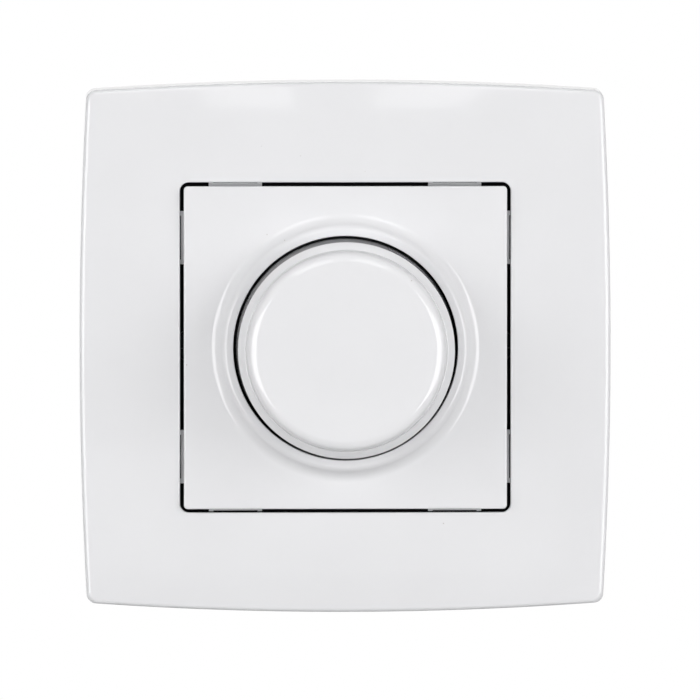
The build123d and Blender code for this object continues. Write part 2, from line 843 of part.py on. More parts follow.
def make_triac():
    """Flat-lying power package: tab, moulded body and three bent leads."""
    seat = board_front + sink_t
    low = triac_y - triac_half_w
    high = triac_y + triac_half_w
    tab = block(triac_tab_x0, triac_body_x0, low, high, seat, seat + triac_tab_t)
    tab -= rod(triac_hole_r, seat, seat + triac_tab_t, triac_hole_x, triac_y)
    body = block(triac_body_x0, triac_body_x1, low, high, seat, seat + triac_body_t)
    body = chamfer(body.faces().sort_by(Axis.Z)[-1].edges(), package_bevel)
    package = tab + body
    lead_z = seat + triac_body_t / 2
    for i in (-1, 0, 1):
        y = triac_y + i * triac_lead_pitch
        half = triac_lead_w / 2
        package += block(triac_body_x1, triac_lead_end, y - half, y + half, lead_z - half, lead_z + half)
        bent = triac_lead_end - triac_lead_w
        package += block(bent, triac_lead_end, y - half, y + half, board_front, lead_z)
    return package


def make_triac_screw():
    """Short screw through the tab."""
    seat = board_front + sink_t + triac_tab_t
    screw = slotted_screw(fixing_screw_r, fixing_head_r, fixing_head_t, board_front + small_play, seat)
    return Pos(triac_hole_x, triac_y, 0) * screw


def make_film_capacitor():
    """Potted box capacitor."""
    box = block(
        capacitor_x0, capacitor_x1, -capacitor_half_h, capacitor_half_h, board_front, capacitor_front,
    )
    return fillet(box.edges().filter_by(Axis.Z), package_bevel)


def make_fuse():
    """Cartridge fuse with two end caps."""
    fuse = rod_along_y(fuse_r, -fuse_half, fuse_half, fuse_x, fuse_z)
    for side in (-1, 1):
        near = side * (fuse_half - fuse_cap_length)
        far = side * fuse_half
        fuse += rod_along_y(fuse_cap_r, min(near, far), max(near, far), fuse_x, fuse_z)
    return fuse


def make_fuse_clips():
    """Two bent clips that hold the fuse by its caps."""
    inner = fuse_cap_r + close_play
    outer = inner + fuse_clip_t
    clips = []
    for side in (-1, 1):
        middle = side * (fuse_half - fuse_cap_length / 2)
        low = middle - fuse_clip_w / 2
        high = middle + fuse_clip_w / 2
        clip = rod_along_y(outer, low, high, fuse_x, fuse_z)
        clip += block(fuse_x - fuse_foot, fuse_x + fuse_foot, low, high, board_front, fuse_z - inner)
        clip -= rod_along_y(inner, low, high, fuse_x, fuse_z)
        clip -= block(fuse_x - fuse_mouth, fuse_x + fuse_mouth, low, high, fuse_z, fuse_z + outer)
        clips.append(clip)
    return Part() + clips


def make_trim_potentiometer():
    """Small square adjuster with a driver slot in its round top."""
    half = trimmer_size / 2
    top = board_front + trimmer_t
    body = block(trimmer_x - half, trimmer_x + half, trimmer_y - half, trimmer_y + half, board_front, top)
    body += rod(trimmer_dial_r, top, top + trimmer_dial_t, trimmer_x, trimmer_y)
    return body - block(
        trimmer_x - half, trimmer_x + half, trimmer_y - screw_slot_w / 2, trimmer_y + screw_slot_w / 2,
        top, top + trimmer_dial_t,
    )


def axial_part(radius, half, lead_half):
    """A small round component on two bent leads, standing on the board at the origin."""
    z = board_front + resistor_rise
    part = rod_along_x(radius, -half, half, 0, z) + rod_along_x(resistor_lead_r, -lead_half, lead_half, 0, z)
    for side in (-1, 1):
        part += rod(resistor_lead_r, board_front, z, side * (lead_half - resistor_lead_r))
    return part


def make_resistors():
    """Row of resistors below the potentiometer."""
    resistor = axial_part(resistor_r, resistor_half, resistor_lead_half)
    rows = [resistor_top_y - i * resistor_pitch for i in range(resistor_count)]
    return Part() + [Pos(resistor_x, y, 0) * resistor for y in rows]


def make_diac():
    """Trigger diode, set upright to the row of resistors."""
    return Pos(diac_x, diac_y, 0) * Rot(0, 0, 90) * axial_part(diac_r, diac_half, diac_lead_half)


def make_choke_core():
    """Ring core of the interference choke."""
    ring = rod(choke_out_r, choke_back, choke_front) - rod(choke_in_r, choke_back, choke_front)
    return Pos(0, choke_y, 0) * chamfer(ring.edges(), package_bevel)


def make_choke_winding():
    """Turns of wire round the core, as flat loops."""
    half = winding_w / 2
    near = choke_in_r - winding_play
    far = choke_out_r + winding_play
    back = choke_back - winding_play
    front = choke_front + winding_play
    loop = block(
        near - winding_t, far + winding_t, -half, half, back - winding_t, front + winding_t,
    ) - block(near, far, -half, half, back, front)
    turns = [Rot(0, 0, 360 * i / choke_turns) * loop for i in range(choke_turns)]
    return Pos(0, choke_y, 0) * (Part() + turns)


def make_terminal_block():
    """Moulded block with a pocket and a screw hole for each terminal."""
    front = board_front - board_t
    body = block(-terminal_half_w, terminal_half_w, terminal_y0, terminal_y1, terminal_back, front)
    screw_z = (cage_z0 + cage_z1) / 2
    for x in terminal_places():
        left, right = x - pocket_half_w, x + pocket_half_w
        body -= block(left, right, pocket_y0, pocket_y1, terminal_back, pocket_front)
        body -= rod_along_y(terminal_head_r + free_play, terminal_y0, pocket_y0, x, screw_z)
    return body


def make_terminal_clamps():
    """Brass cages that the wires are clamped in."""
    screw_z = (cage_z0 + cage_z1) / 2
    cages = []
    for x in terminal_places():
        cage = block(x - cage_half_w, x + cage_half_w, cage_y0, cage_y1, cage_z0, cage_z1)
        cage -= block(x - wire_half_w, x + wire_half_w, wire_y0, wire_y1, cage_z0, cage_z1)
        cages.append(cage - rod_along_y(terminal_screw_r + close_play, cage_y0, wire_y0, x, screw_z))
    return Part() + cages


def make_terminal_screws():
    """Clamp screws, reached from below."""
    screw_z = (cage_z0 + cage_z1) / 2
    head_end = cage_y0 - free_play
    screws = []
    for x in terminal_places():
        screw = rod_along_y(terminal_screw_r, head_end, terminal_screw_y, x, screw_z)
        screw += rod_along_y(terminal_head_r, terminal_head_y, head_end, x, screw_z)
        screws.append(screw - block(
            x - terminal_head_r, x + terminal_head_r, terminal_head_y, terminal_head_y + screw_slot_depth,
            screw_z - screw_slot_w / 2, screw_z + screw_slot_w / 2,
        ))
    return Part() + screws


right_claw = make_claw()
right_claw_screw = make_claw_screw()

pieces = {
    "cover_frame": make_cover_frame(),
    "centre_plate": make_centre_plate(),
    "knob": make_knob(),
    "knob_spring_clip": make_knob_spring_clip(),
    "support_plate": make_support_plate(),
    "claw_right": right_claw,
    "claw_left": mirror(right_claw, about=Plane.YZ),
    "claw_screw_right": right_claw_screw,
    "claw_screw_left": mirror(right_claw_screw, about=Plane.YZ),
    "plate_screws": make_plate_screws(),
    "housing": make_housing(),
    "housing_lid": make_housing_lid(),
    "pot_shaft": make_pot_shaft(),
    "pot_bushing": make_pot_bushing(),
    "bushing_washer": make_bushing_washer(),
    "bushing_nut": make_bushing_nut(),
    "pot_can": make_pot_can(),
    "track_wafer": make_track_wafer(),
    "pot_pins": make_pot_pins(),
    "wiper_rotor": make_wiper_rotor(),
    "wiper_contact": make_wiper_contact(),
    "switch_body": make_switch_body(),
    "switch_plunger": make_switch_plunger(),
    "plunger_spring": make_plunger_spring(),
    "circuit_board": make_circuit_board(),
    "heat_sink": make_heat_sink(),
    "triac": make_triac(),
    "triac_screw": make_triac_screw(),
    "film_capacitor": make_film_capacitor(),
    "fuse": make_fuse(),
    "fuse_clips": make_fuse_clips(),
    "trim_potentiometer": make_trim_potentiometer(),
    "resistors": make_resistors(),
    "diac": make_diac(),
    "choke_core": make_choke_core(),
    "choke_winding": make_choke_winding(),
    "terminal_block": make_terminal_block(),
    "terminal_clamps": make_terminal_clamps(),
    "terminal_screws": make_terminal_screws(),
}

os.makedirs("parts", exist_ok=True)
standing = Rot(90, 0, 0)
for name, shape in pieces.items():
    export_step(standing * shape, f"parts/{name}.step")
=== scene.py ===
"""Looks of a flush-mounted rotary dimmer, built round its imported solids, in metres.

The front faces -Y, +Z is up, the wall's surface is y = 0 and the knob turns about Y. The sizes of pieces
are in millimetres, and their heights are out over the wall.
"""

import logging
import math
from dataclasses import dataclass
from enum import Enum
from typing import Any, Callable

import bmesh
import bpy
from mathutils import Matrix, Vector


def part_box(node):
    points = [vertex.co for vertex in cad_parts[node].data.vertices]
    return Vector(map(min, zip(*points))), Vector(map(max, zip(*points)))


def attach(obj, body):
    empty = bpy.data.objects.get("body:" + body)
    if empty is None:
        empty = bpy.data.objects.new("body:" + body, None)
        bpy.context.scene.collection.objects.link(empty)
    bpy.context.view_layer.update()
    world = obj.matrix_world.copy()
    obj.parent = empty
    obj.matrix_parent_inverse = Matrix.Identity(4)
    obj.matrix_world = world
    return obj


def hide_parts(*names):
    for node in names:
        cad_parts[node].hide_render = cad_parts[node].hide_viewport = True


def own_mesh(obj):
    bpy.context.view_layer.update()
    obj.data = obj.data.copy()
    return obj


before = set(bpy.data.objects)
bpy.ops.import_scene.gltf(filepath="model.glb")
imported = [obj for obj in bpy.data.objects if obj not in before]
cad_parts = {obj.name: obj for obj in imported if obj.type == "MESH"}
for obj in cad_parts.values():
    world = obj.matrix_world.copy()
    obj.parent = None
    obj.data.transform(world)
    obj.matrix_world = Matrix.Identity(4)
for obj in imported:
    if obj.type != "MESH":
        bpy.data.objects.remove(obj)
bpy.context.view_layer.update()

log = logging.getLogger("dimmer")
MM = 0.001
WHITE = "#FFFFFF"
# Edges that bend more than the first angle are rounded. Faces that meet at less than the second are shaded
# smooth, and large faces lead that shading where the weight is over 50.
SHARP = math.radians(50)
SMOOTH = math.radians(32)
EVEN_WEIGHT = 60
# Numbers of the Mix node's sockets, which share their names.
FLOAT_A, FLOAT_B, FLOAT_RESULT = 2, 3, 0
COLOUR_A, COLOUR_B, COLOUR_RESULT = 6, 7, 2


def linear(hex_colour: str) -> tuple[float, float, float, float]:
    """Turns an sRGB hex colour into linear light.

    Args:
        hex_colour: Six hex digits after a hash.

    Returns:
        Red, green, blue and an alpha of one.
    """
    parts = [int(hex_colour[i:i + 2], 16) / 255 for i in (1, 3, 5)]
    bent = [c / 12.92 if c <= 0.04045 else ((c + 0.055) / 1.055) ** 2.4 for c in parts]
    return (bent[0], bent[1], bent[2], 1.0)


def add_node(tree: bpy.types.NodeTree, kind: str, inputs: dict[Any, Any] | None = None,
             **settings: Any) -> bpy.types.Node:
    """Adds one node to a tree.

    Args:
        tree: The tree that gets the node.
        kind: The node's Blender type name.
        inputs: For each input's name or number, a value or the output socket to link to it.
        **settings: Properties of the node itself.

    Returns:
        The new node.
    """
    node = tree.nodes.new(kind)
    for key, value in settings.items():
        setattr(node, key, value)
    for key, value in (inputs or {}).items():
        if isinstance(value, bpy.types.NodeSocket):
            tree.links.new(value, node.inputs[key])
        else:
            node.inputs[key].default_value = value
    return node


class Pattern(Enum):
    """How a finish's fine relief runs over the piece."""

    EVEN = "the same in all directions"
    ROLLED = "drawn out along X by the rolling mill"
    TURNED = "rings about the knob's axis"


# Where the noise of the clouds goes from the second colour to the main one, and from dull to glossy.
CLOUD_BAND = (0.35, 0.65)
GLOSS_BAND = (0.3, 0.7)
CLOUD_DETAIL = 3.0
GRAIN_DETAIL = 2.0
# Scale of a rolled grain along X against across, and how far turned rings waver.
ROLLED_SCALE = (0.06, 1.0, 1.0)
EVEN_SCALE = (1.0, 1.0, 1.0)
TURNED_WAVER = 1.5
# Dust: its colour, a speck's rim and core as shares of its cell, and the share of cells without a speck.
SPECK_COLOUR = "#C9C6C4"
SPECK_RIM = 0.045
SPECK_CORE = 0.02
SPECKLESS = 0.72


@dataclass(frozen=True)
class Finish:
    """A surface: what it is made of and how it was made.

    Attributes:
        name: The material's common name and how its surface was made.
        colour: Main colour, sRGB hex.
        second: Colour of its faint clouds, sRGB hex.
        roughness: Middle roughness.
        spread: How far the roughness strays either way.
        metallic: One for a bare metal.
        ior: Refractive index of a plastic, lacquer or glaze.
        grain_mm: Size of the fine relief.
        depth_mm: Height of the fine relief.
        cloud_mm: Size of the clouds of colour and gloss.
        pattern: How the relief runs.
        coat: Weight of a clear lacquer.
        speck_mm: Mean distance of the tiny dust specks, or none.
        lacquer: Colour of the side facing the room, dull black as painted shade for the gaps, or none.
        shade_over_mm: Height over the wall from which that painted shade covers.
        shade_gloss: How much that painted shade mirrors, where 0.5 is a clear coat.
        shade_rough: The roughness of that painted shade.
    """

    name: str
    colour: str
    second: str
    roughness: float
    spread: float = 0.05
    metallic: float = 0.0
    ior: float = 1.5
    grain_mm: float = 0.5
    depth_mm: float = 0.002
    cloud_mm: float = 12.0
    pattern: Pattern = Pattern.EVEN
    coat: float = 0.0
    speck_mm: float = 0.0
    # A dull black front, as painted shade for the gaps, and its height, gloss and roughness.
    lacquer: str = ""
    shade_over_mm: float = 0.95
    shade_gloss: float = 0.15
    shade_rough: float = 0.7

    def material(self) -> bpy.types.Material:
        """Makes the material, or finds it if a piece has it already.

        Returns:
            A node material that reads Object coordinates.
        """
        made = bpy.data.materials.get(self.name)
        if made:
            return made
        made = bpy.data.materials.new(self.name)
        made.use_nodes = True
        tree = made.node_tree
        tree.nodes.clear()
        place = add_node(tree, "ShaderNodeTexCoord").outputs["Object"]
        clouds = add_node(tree, "ShaderNodeTexNoise",
                          {"Vector": place, "Scale": 1 / (self.cloud_mm * MM), "Detail": CLOUD_DETAIL})
        tint = add_node(tree, "ShaderNodeValToRGB", {"Fac": clouds.outputs["Fac"]})
        for stop, level, shade in zip(tint.color_ramp.elements, CLOUD_BAND, (self.second, self.colour)):
            stop.position = level
            stop.color = linear(shade)
        gloss = add_node(tree, "ShaderNodeMapRange",
                         {"Value": clouds.outputs["Fac"],
                          "From Min": GLOSS_BAND[0], "From Max": GLOSS_BAND[1],
                          "To Min": self.roughness + self.spread, "To Max": self.roughness - self.spread})
        colour, rough, metallic = tint.outputs["Color"], gloss.outputs["Result"], self.metallic
        if self.speck_mm:
            colour = self.specks(tree, place, colour)
        # Paints the side facing the room dull black, as painted shade for the gaps.
        if self.lacquer:
            colour, rough, metallic = self.paint_shade_on_front(tree, place, colour, rough)
        relief = self.relief(tree, place)
        bump = add_node(tree, "ShaderNodeBump", {"Height": relief, "Distance": self.depth_mm * MM})
        shader = add_node(tree, "ShaderNodeBsdfPrincipled",
                          {"Base Color": colour, "Roughness": rough, "Metallic": metallic,
                           "Normal": bump.outputs["Normal"]})
        if not self.metallic:
            shader.inputs["IOR"].default_value = self.ior
        if self.lacquer:
            shader.inputs["Specular IOR Level"].default_value = self.shade_gloss
        if self.coat:
            shader.inputs["Coat Weight"].default_value = self.coat
        add_node(tree, "ShaderNodeOutputMaterial", {"Surface": shader.outputs["BSDF"]})
        return made

    def specks(self, tree: bpy.types.NodeTree, place: bpy.types.NodeSocket,
               colour: bpy.types.NodeSocket) -> bpy.types.NodeSocket:
        """Adds sparse grey specks of dust, about a fifth of a millimetre across.

        Args:
            tree: The material's tree.
            place: The piece's Object coordinates.
            colour: The colour under the specks.

        Returns:
            The socket of the speckled colour.
        """
        cells = add_node(tree, "ShaderNodeTexVoronoi", {"Vector": place, "Scale": 1 / (self.speck_mm * MM)})
        near = add_node(tree, "ShaderNodeMapRange",
                        {"Value": cells.outputs["Distance"], "From Min": SPECK_RIM, "From Max": SPECK_CORE})
        some = add_node(tree, "ShaderNodeSeparateColor", {"Color": cells.outputs["Color"]})
        chosen = add_node(tree, "ShaderNodeMath", {0: some.outputs["Red"], 1: SPECKLESS},
                          operation="GREATER_THAN")
        amount = add_node(tree, "ShaderNodeMath", {0: near.outputs["Result"], 1: chosen.outputs[0]},
                          operation="MULTIPLY")
        mixed = add_node(tree, "ShaderNodeMix",
                         {"Factor": amount.outputs[0], COLOUR_A: colour, COLOUR_B: linear(SPECK_COLOUR)},
                         data_type="RGBA")
        return mixed.outputs[COLOUR_RESULT]

    def paint_shade_on_front(self, tree: bpy.types.NodeTree, place: bpy.types.NodeSocket, colour: bpy.types.NodeSocket,
                  rough: bpy.types.NodeSocket) -> tuple[bpy.types.NodeSocket, ...]:
        """Covers the side that faces the room with a dull black coat, which is painted shade for the gaps.

        Args:
            tree: The material's tree.
            place: The piece's Object coordinates.
            colour: The bare metal's colour.
            rough: The bare metal's roughness.

        Returns:
            The sockets of colour, roughness and metallic.
        """
        axes = add_node(tree, "ShaderNodeSeparateXYZ", {"Vector": place})
        bare = add_node(tree, "ShaderNodeMath", {0: axes.outputs["Y"], 1: -self.shade_over_mm * MM},
                        operation="GREATER_THAN").outputs[0]
        mixed = add_node(tree, "ShaderNodeMix",
                         {"Factor": bare, COLOUR_A: linear(self.lacquer), COLOUR_B: colour},
                         data_type="RGBA")
        dull = add_node(tree, "ShaderNodeMix",
                        {"Factor": bare, FLOAT_A: self.shade_rough, FLOAT_B: rough})
        return mixed.outputs[COLOUR_RESULT], dull.outputs[FLOAT_RESULT], bare

    def relief(self, tree: bpy.types.NodeTree, place: bpy.types.NodeSocket) -> bpy.types.NodeSocket:
        """Adds the nodes of the fine relief.

        Args:
            tree: The material's tree.
            place: The piece's Object coordinates.

        Returns:
            The socket with the relief's height, from 0 to 1.
        """
        scale = 1 / (self.grain_mm * MM)
        if self.pattern is Pattern.TURNED:
            rings = add_node(tree, "ShaderNodeTexWave",
                             {"Vector": place, "Scale": scale, "Distortion": TURNED_WAVER,
                              "Detail": GRAIN_DETAIL},
                             wave_type="RINGS", rings_direction="Y")
            return rings.outputs["Fac"]
        stretch = ROLLED_SCALE if self.pattern is Pattern.ROLLED else EVEN_SCALE
        laid = add_node(tree, "ShaderNodeMapping", {"Vector": place, "Scale": stretch})
        grain = add_node(tree, "ShaderNodeTexNoise",
                         {"Vector": laid.outputs["Vector"], "Scale": scale, "Detail": GRAIN_DETAIL})
        return grain.outputs["Fac"]


# The real grain of metals and dull plastics is finer than a pixel, so it is drawn 0.2 to 0.4 mm wide.

# Polished polycarbonate: a clean white gloss with a very low orange peel and a few specks of dust.
FRAME_WHITE = Finish("polished_white_polycarbonate_frame", "#E8E8EA", "#E6E6E8", 0.025, 0.005, ior=1.585,
                     grain_mm=1.6, depth_mm=0.0002, cloud_mm=18, speck_mm=3.2)
PLATE_WHITE = Finish("polished_white_polycarbonate_plate", "#E9E9EB", "#E7E7E9", 0.035, 0.005, ior=1.585,
                     grain_mm=1.2, depth_mm=0.0004, cloud_mm=14, speck_mm=3.0)
KNOB_WHITE = Finish("polished_white_polycarbonate_knob", "#E9E9EB", "#E8E8EA", 0.05, 0.02, ior=1.585,
                    grain_mm=1.0, depth_mm=0.0006, cloud_mm=10, speck_mm=3.4)
# Zinc on rolled sheet: pale grey and half bright, with faint streaks along the rolling.
ZINC_STEEL = Finish("zinc_plated_sheet_steel", "#BFC2C6", "#BABEC3", 0.3, 0.05, 1.0,
                    grain_mm=0.25, depth_mm=0.003, cloud_mm=11, pattern=Pattern.ROLLED)
# The support plate is the same zinc at the back; its dull black front is painted shade for the gaps.
STEEL_WITH_PAINTED_SHADE_FRONT = Finish("zinc_plated_steel_with_painted_shade_front", "#BFC2C6", "#BABEC3", 0.3, 0.05, 1.0,
                         grain_mm=0.25, depth_mm=0.003, cloud_mm=11, pattern=Pattern.ROLLED,
                         lacquer="#08080A")
# Black oxide, made darker still as painted shade where heads show in the gaps: nearly black, a dull metal
# sheen.
BLACK_OXIDE_AND_SHADE_STEEL = Finish("black_oxide_steel_darkened_as_shade", "#18181A", "#141416", 0.42, 0.06, 1.0,
                     grain_mm=0.2, depth_mm=0.003)
# Blued spring steel: a dark blue grey with a soft shine.
SPRING_STEEL = Finish("blued_spring_steel", "#6E7480", "#5B606B", 0.3, 0.05, 1.0, grain_mm=0.3)
# A spark-eroded mould: even dark grey, with a fine dull texture.
HOUSING_DARK = Finish("spark_eroded_grey_polyamide", "#3A3C40", "#35373B", 0.5, 0.06,
                      grain_mm=0.35, depth_mm=0.02, cloud_mm=9)
# Drawn brass: a warm yellow, bright but uneven.
BRASS = Finish("bright_drawn_brass", "#C8A45A", "#B58F47", 0.28, 0.06, 1.0, grain_mm=0.3)
# Nickel on turned brass: a warm bright grey with fine rings from the lathe.
NICKEL = Finish("nickel_plated_turned_brass", "#C6C2B8", "#B9B4A8", 0.2, 0.05, 1.0,
                grain_mm=0.4, depth_mm=0.002, pattern=Pattern.TURNED)
# Paper laminate: a dull brown with a fibrous face.
WAFER_BROWN = Finish("punched_paper_laminate", "#7A4A24", "#6B3F1D", 0.45, 0.05,
                     grain_mm=0.3, depth_mm=0.01)
# Solder mask over glass cloth: a green shine with the cloth's clouds under it.
BOARD_GREEN = Finish("solder_masked_glass_laminate", "#1E5A34", "#184C2B", 0.3, 0.05,
                     grain_mm=0.8, depth_mm=0.01, cloud_mm=3)
# Extruded aluminium: a silvery grey with fine lines from the die.
ALUMINIUM = Finish("extruded_aluminium", "#C9CACC", "#BFC0C3", 0.35, 0.06, 1.0,
                   grain_mm=0.2, depth_mm=0.004, pattern=Pattern.ROLLED)
# Moulded epoxy: black, with a fine dull texture.
PACKAGE_BLACK = Finish("moulded_black_epoxy", "#1D1D1F", "#232325", 0.45, 0.06,
                       grain_mm=0.2, depth_mm=0.008)
# Moulded polyester: an even colour with a soft shine.
MOULDING_CREAM = Finish("moulded_cream_polyester", "#D9CFB4", "#D2C7AA", 0.4, 0.05, depth_mm=0.006)
FILM_YELLOW = Finish("moulded_yellow_polyester", "#D8B12E", "#CFA725", 0.35, 0.05, depth_mm=0.006)
TRIMMER_BLUE = Finish("moulded_blue_polyester", "#2C5FA8", "#275797", 0.35, 0.05, depth_mm=0.006)
# Glazed ceramic: off-white, with a smooth shine.
CERAMIC = Finish("glazed_ceramic_tube", "#E6E2D6", "#DCD7C8", 0.25, 0.05, depth_mm=0.003)
# Dipped lacquer: tan under a thick glossy skin.
RESISTOR_TAN = Finish("dipped_tan_lacquer", "#C9A56F", "#BD9860", 0.3, 0.05, coat=0.4)
# Glass: an orange red with sharp highlights.
GLASS_RED = Finish("orange_red_glass", "#A8401F", "#993517", 0.12, 0.03, ior=1.52, coat=0.5)
# Coated ferrite: an even yellow paint that is slightly dull.
FERRITE = Finish("coated_ferrite_ring", "#C9B23A", "#BDA52F", 0.45, 0.06, depth_mm=0.01)
# Enamelled copper: an orange brown under clear enamel.
COPPER = Finish("enamelled_copper_wire", "#A4572C", "#934B23", 0.22, 0.05, 1.0, coat=0.6)
# Background paper: matt and nearly white.
FLOOR_PAPER = Finish("matt_white_paper", "#F4F4F4", "#F1F1F1", 0.8, 0.02, cloud_mm=400, grain_mm=2)

SLOT_FINISHES = {
    "frame_white": FRAME_WHITE, "plate_white": PLATE_WHITE, "knob_white": KNOB_WHITE,
    "zinc_steel": ZINC_STEEL, "spring_steel": SPRING_STEEL, "housing_dark": HOUSING_DARK,
    "brass": BRASS, "nickel": NICKEL, "wafer_brown": WAFER_BROWN, "moulding_cream": MOULDING_CREAM,
    "board_green": BOARD_GREEN, "aluminium": ALUMINIUM, "package_black": PACKAGE_BLACK,
    "film_yellow": FILM_YELLOW, "ceramic": CERAMIC, "resistor_tan": RESISTOR_TAN,
    "trimmer_blue": TRIMMER_BLUE, "glass_red": GLASS_RED, "ferrite": FERRITE, "copper": COPPER,
}
NODE_FINISHES = {
    "support_plate": STEEL_WITH_PAINTED_SHADE_FRONT, "claw_screw_left": BLACK_OXIDE_AND_SHADE_STEEL, "claw_screw_right": BLACK_OXIDE_AND_SHADE_STEEL,
}


@dataclass
class Panel:
    """A soft light: a flat panel that is turned to a point.

    Attributes:
        name: The lamp's name.
        place: Its middle, in metres.
        target: The point that it faces, in metres.
        width: Across, in metres.
        height: Upright, or along Y where the panel hangs level, in metres.
        radiance: Its brightness, where a white card in plain light is one.
        mirrored: Whether gloss shows it, or it only lights.
    """

    name: str
    place: tuple[float, float, float]
    target: tuple[float, float, float]
    width: float
    height: float
    radiance: float
    mirrored: bool = True

    def build(self) -> None:
        """Adds the lamp, hidden from the camera itself."""
        data = bpy.data.lights.new(self.name, "AREA")
        data.shape = "RECTANGLE"
        data.size, data.size_y = self.width, self.height
        data.energy = self.radiance * math.pi * self.width * self.height
        lamp = bpy.data.objects.new(self.name, data)
        bpy.context.scene.collection.objects.link(lamp)
        lamp.location = self.place
        back = Vector(self.place) - Vector(self.target)
        lamp.rotation_euler = back.to_track_quat("Z", "Y").to_euler()
        lamp.visible_camera = False
        lamp.visible_glossy = self.mirrored


@dataclass
class Studio:
    """Floor, soft lights, white surroundings and the camera.

    Attributes:
        view_width: What the picture takes in across the dimmer, in metres.
        distance: From the camera to the dimmer's front, in metres.
        azimuth: The camera's place, in degrees right of the front.
        elevation: The camera's place, in degrees above the front.
        aim: The point that falls in the middle of the picture.
        sensor: Width of the camera's sensor, in millimetres.
        clip: The nearest and the farthest distance that the camera shows.
        floor_drop: How far the floor is below the dimmer's middle.
        floor_size: Length of the floor's sides.
        floor_shade_level: Brightness of the floor's painted shade under the dimmer, where white is one.
        floor_shade_sweep: Distances from its middle between which that painted shade brightens to white.
    """

    view_width: float = 0.1078
    distance: float = 2.2
    azimuth: float = -1.2
    elevation: float = 3.3
    aim: tuple[float, float, float] = (0.00072, -0.0075, -0.0004)
    sensor: float = 36.0
    clip: tuple[float, float] = (0.1, 50.0)
    floor_drop: float = 2.0
    floor_size: float = 16.0
    floor_shade_level: float = 0.58
    floor_shade_sweep: tuple[float, float] = (1.0, 7.6)

    def build(self) -> None:
        """Builds the whole studio."""
        self.surroundings()
        self.floor()
        self.camera()
        front = (0.0, -0.01, 0.0)
        # Each has its name, place, target, width, height and radiance.
        for panel in (
            Panel("left_softbox", (-0.438, -0.899, -0.06), front, 0.5, 0.42, 3.7),
            Panel("right_softbox", (0.445, -0.895, -0.06), front, 0.5, 0.42, 3.7),
            Panel("left_wall", (-0.81, -0.54, 0.2), front, 0.54, 0.7, 3.4, mirrored=False),
            Panel("right_wall", (0.81, -0.54, 0.2), front, 0.54, 0.7, 3.7, mirrored=False),
            Panel("overhead_left", (-0.26, -2.27, 0.6), (-0.26, -2.27, 0.0), 0.38, 2.27, 2.15),
            Panel("overhead_right", (0.242, -2.27, 0.6), (0.242, -2.27, 0.0), 0.296, 2.27, 2.15),
            Panel("far_overhead_left", (-0.245, -5.55, 0.6), (-0.245, -5.55, 0.0), 0.37, 4.3, 1.2),
            Panel("far_overhead_right", (0.47, -5.55, 0.6), (0.47, -5.55, 0.0), 0.4, 4.3, 1.2),
            Panel("overhead_near", (0.0, -0.14, 0.6), front, 0.5, 0.25, 1.3, mirrored=False),
            Panel("lower_card", (0.0, -0.985, -0.17), front, 0.34, 0.09, 0.3),
            Panel("rear_left", (-0.45, 1.05, 0.1), front, 0.7, 0.9, 2.8, mirrored=False),
            Panel("rear_right", (0.45, 1.05, 0.1), front, 0.7, 0.9, 2.5, mirrored=False),
            Panel("rear_top", (0.0, 1.0, 0.7), front, 1.2, 0.6, 1.6),
        ):
            panel.build()
        bpy.context.scene.view_settings.view_transform = "Standard"

    def seen(self, tree: bpy.types.NodeTree) -> bpy.types.NodeSocket:
        """Tells where a ray comes from the camera, a mirror or a clear piece.

        Args:
            tree: The tree that gets the nodes.

        Returns:
            The socket that is one for such rays.
        """
        path = add_node(tree, "ShaderNodeLightPath").outputs
        either = add_node(tree, "ShaderNodeMath",
                          {0: path["Is Camera Ray"], 1: path["Is Glossy Ray"]}, operation="MAXIMUM")
        any_of_them = add_node(tree, "ShaderNodeMath",
                               {0: either.outputs[0], 1: path["Is Transmission Ray"]}, operation="MAXIMUM")
        return any_of_them.outputs[0]

    def surroundings(self) -> None:
        """Makes the world white where it is seen or mirrored, while it lights nothing."""
        world = bpy.data.worlds.new("white_room")
        bpy.context.scene.world = world
        world.use_nodes = True
        tree = world.node_tree
        tree.nodes.clear()
        sky = add_node(tree, "ShaderNodeBackground", {"Color": linear(WHITE), "Strength": self.seen(tree)})
        add_node(tree, "ShaderNodeOutputWorld", {"Surface": sky.outputs["Background"]})

    def floor(self) -> None:
        """Lays a pale floor well below the dimmer, darker under it as painted shade, which fades into the
        white surroundings.
        """
        bpy.ops.object.select_all(action="DESELECT")
        bpy.ops.mesh.primitive_plane_add(size=self.floor_size, location=(0, 0, -self.floor_drop))
        floor = bpy.context.object
        floor.name = "studio_floor"
        paper = FLOOR_PAPER.material()
        tree = paper.node_tree
        surface = next(node for node in tree.nodes if node.type == "OUTPUT_MATERIAL").inputs["Surface"]
        place = add_node(tree, "ShaderNodeTexCoord").outputs["Object"]
        away = add_node(tree, "ShaderNodeVectorMath", {0: place}, operation="LENGTH").outputs["Value"]
        # The floor's emission is darker under the dimmer: painted shade that brightens to white farther
        # out.
        level = add_node(tree, "ShaderNodeMapRange",
                         {"Value": away, "From Min": self.floor_shade_sweep[0], "From Max": self.floor_shade_sweep[1],
                          "To Min": self.floor_shade_level, "To Max": 1.0},
                         interpolation_type="SMOOTHSTEP")
        pale = add_node(tree, "ShaderNodeEmission",
                        {"Color": linear(WHITE), "Strength": level.outputs["Result"]})
        both = add_node(tree, "ShaderNodeMixShader",
                        {0: self.seen(tree), 1: surface.links[0].from_socket, 2: pale.outputs["Emission"]})
        tree.links.new(both.outputs["Shader"], surface)
        floor.data.materials.append(paper)

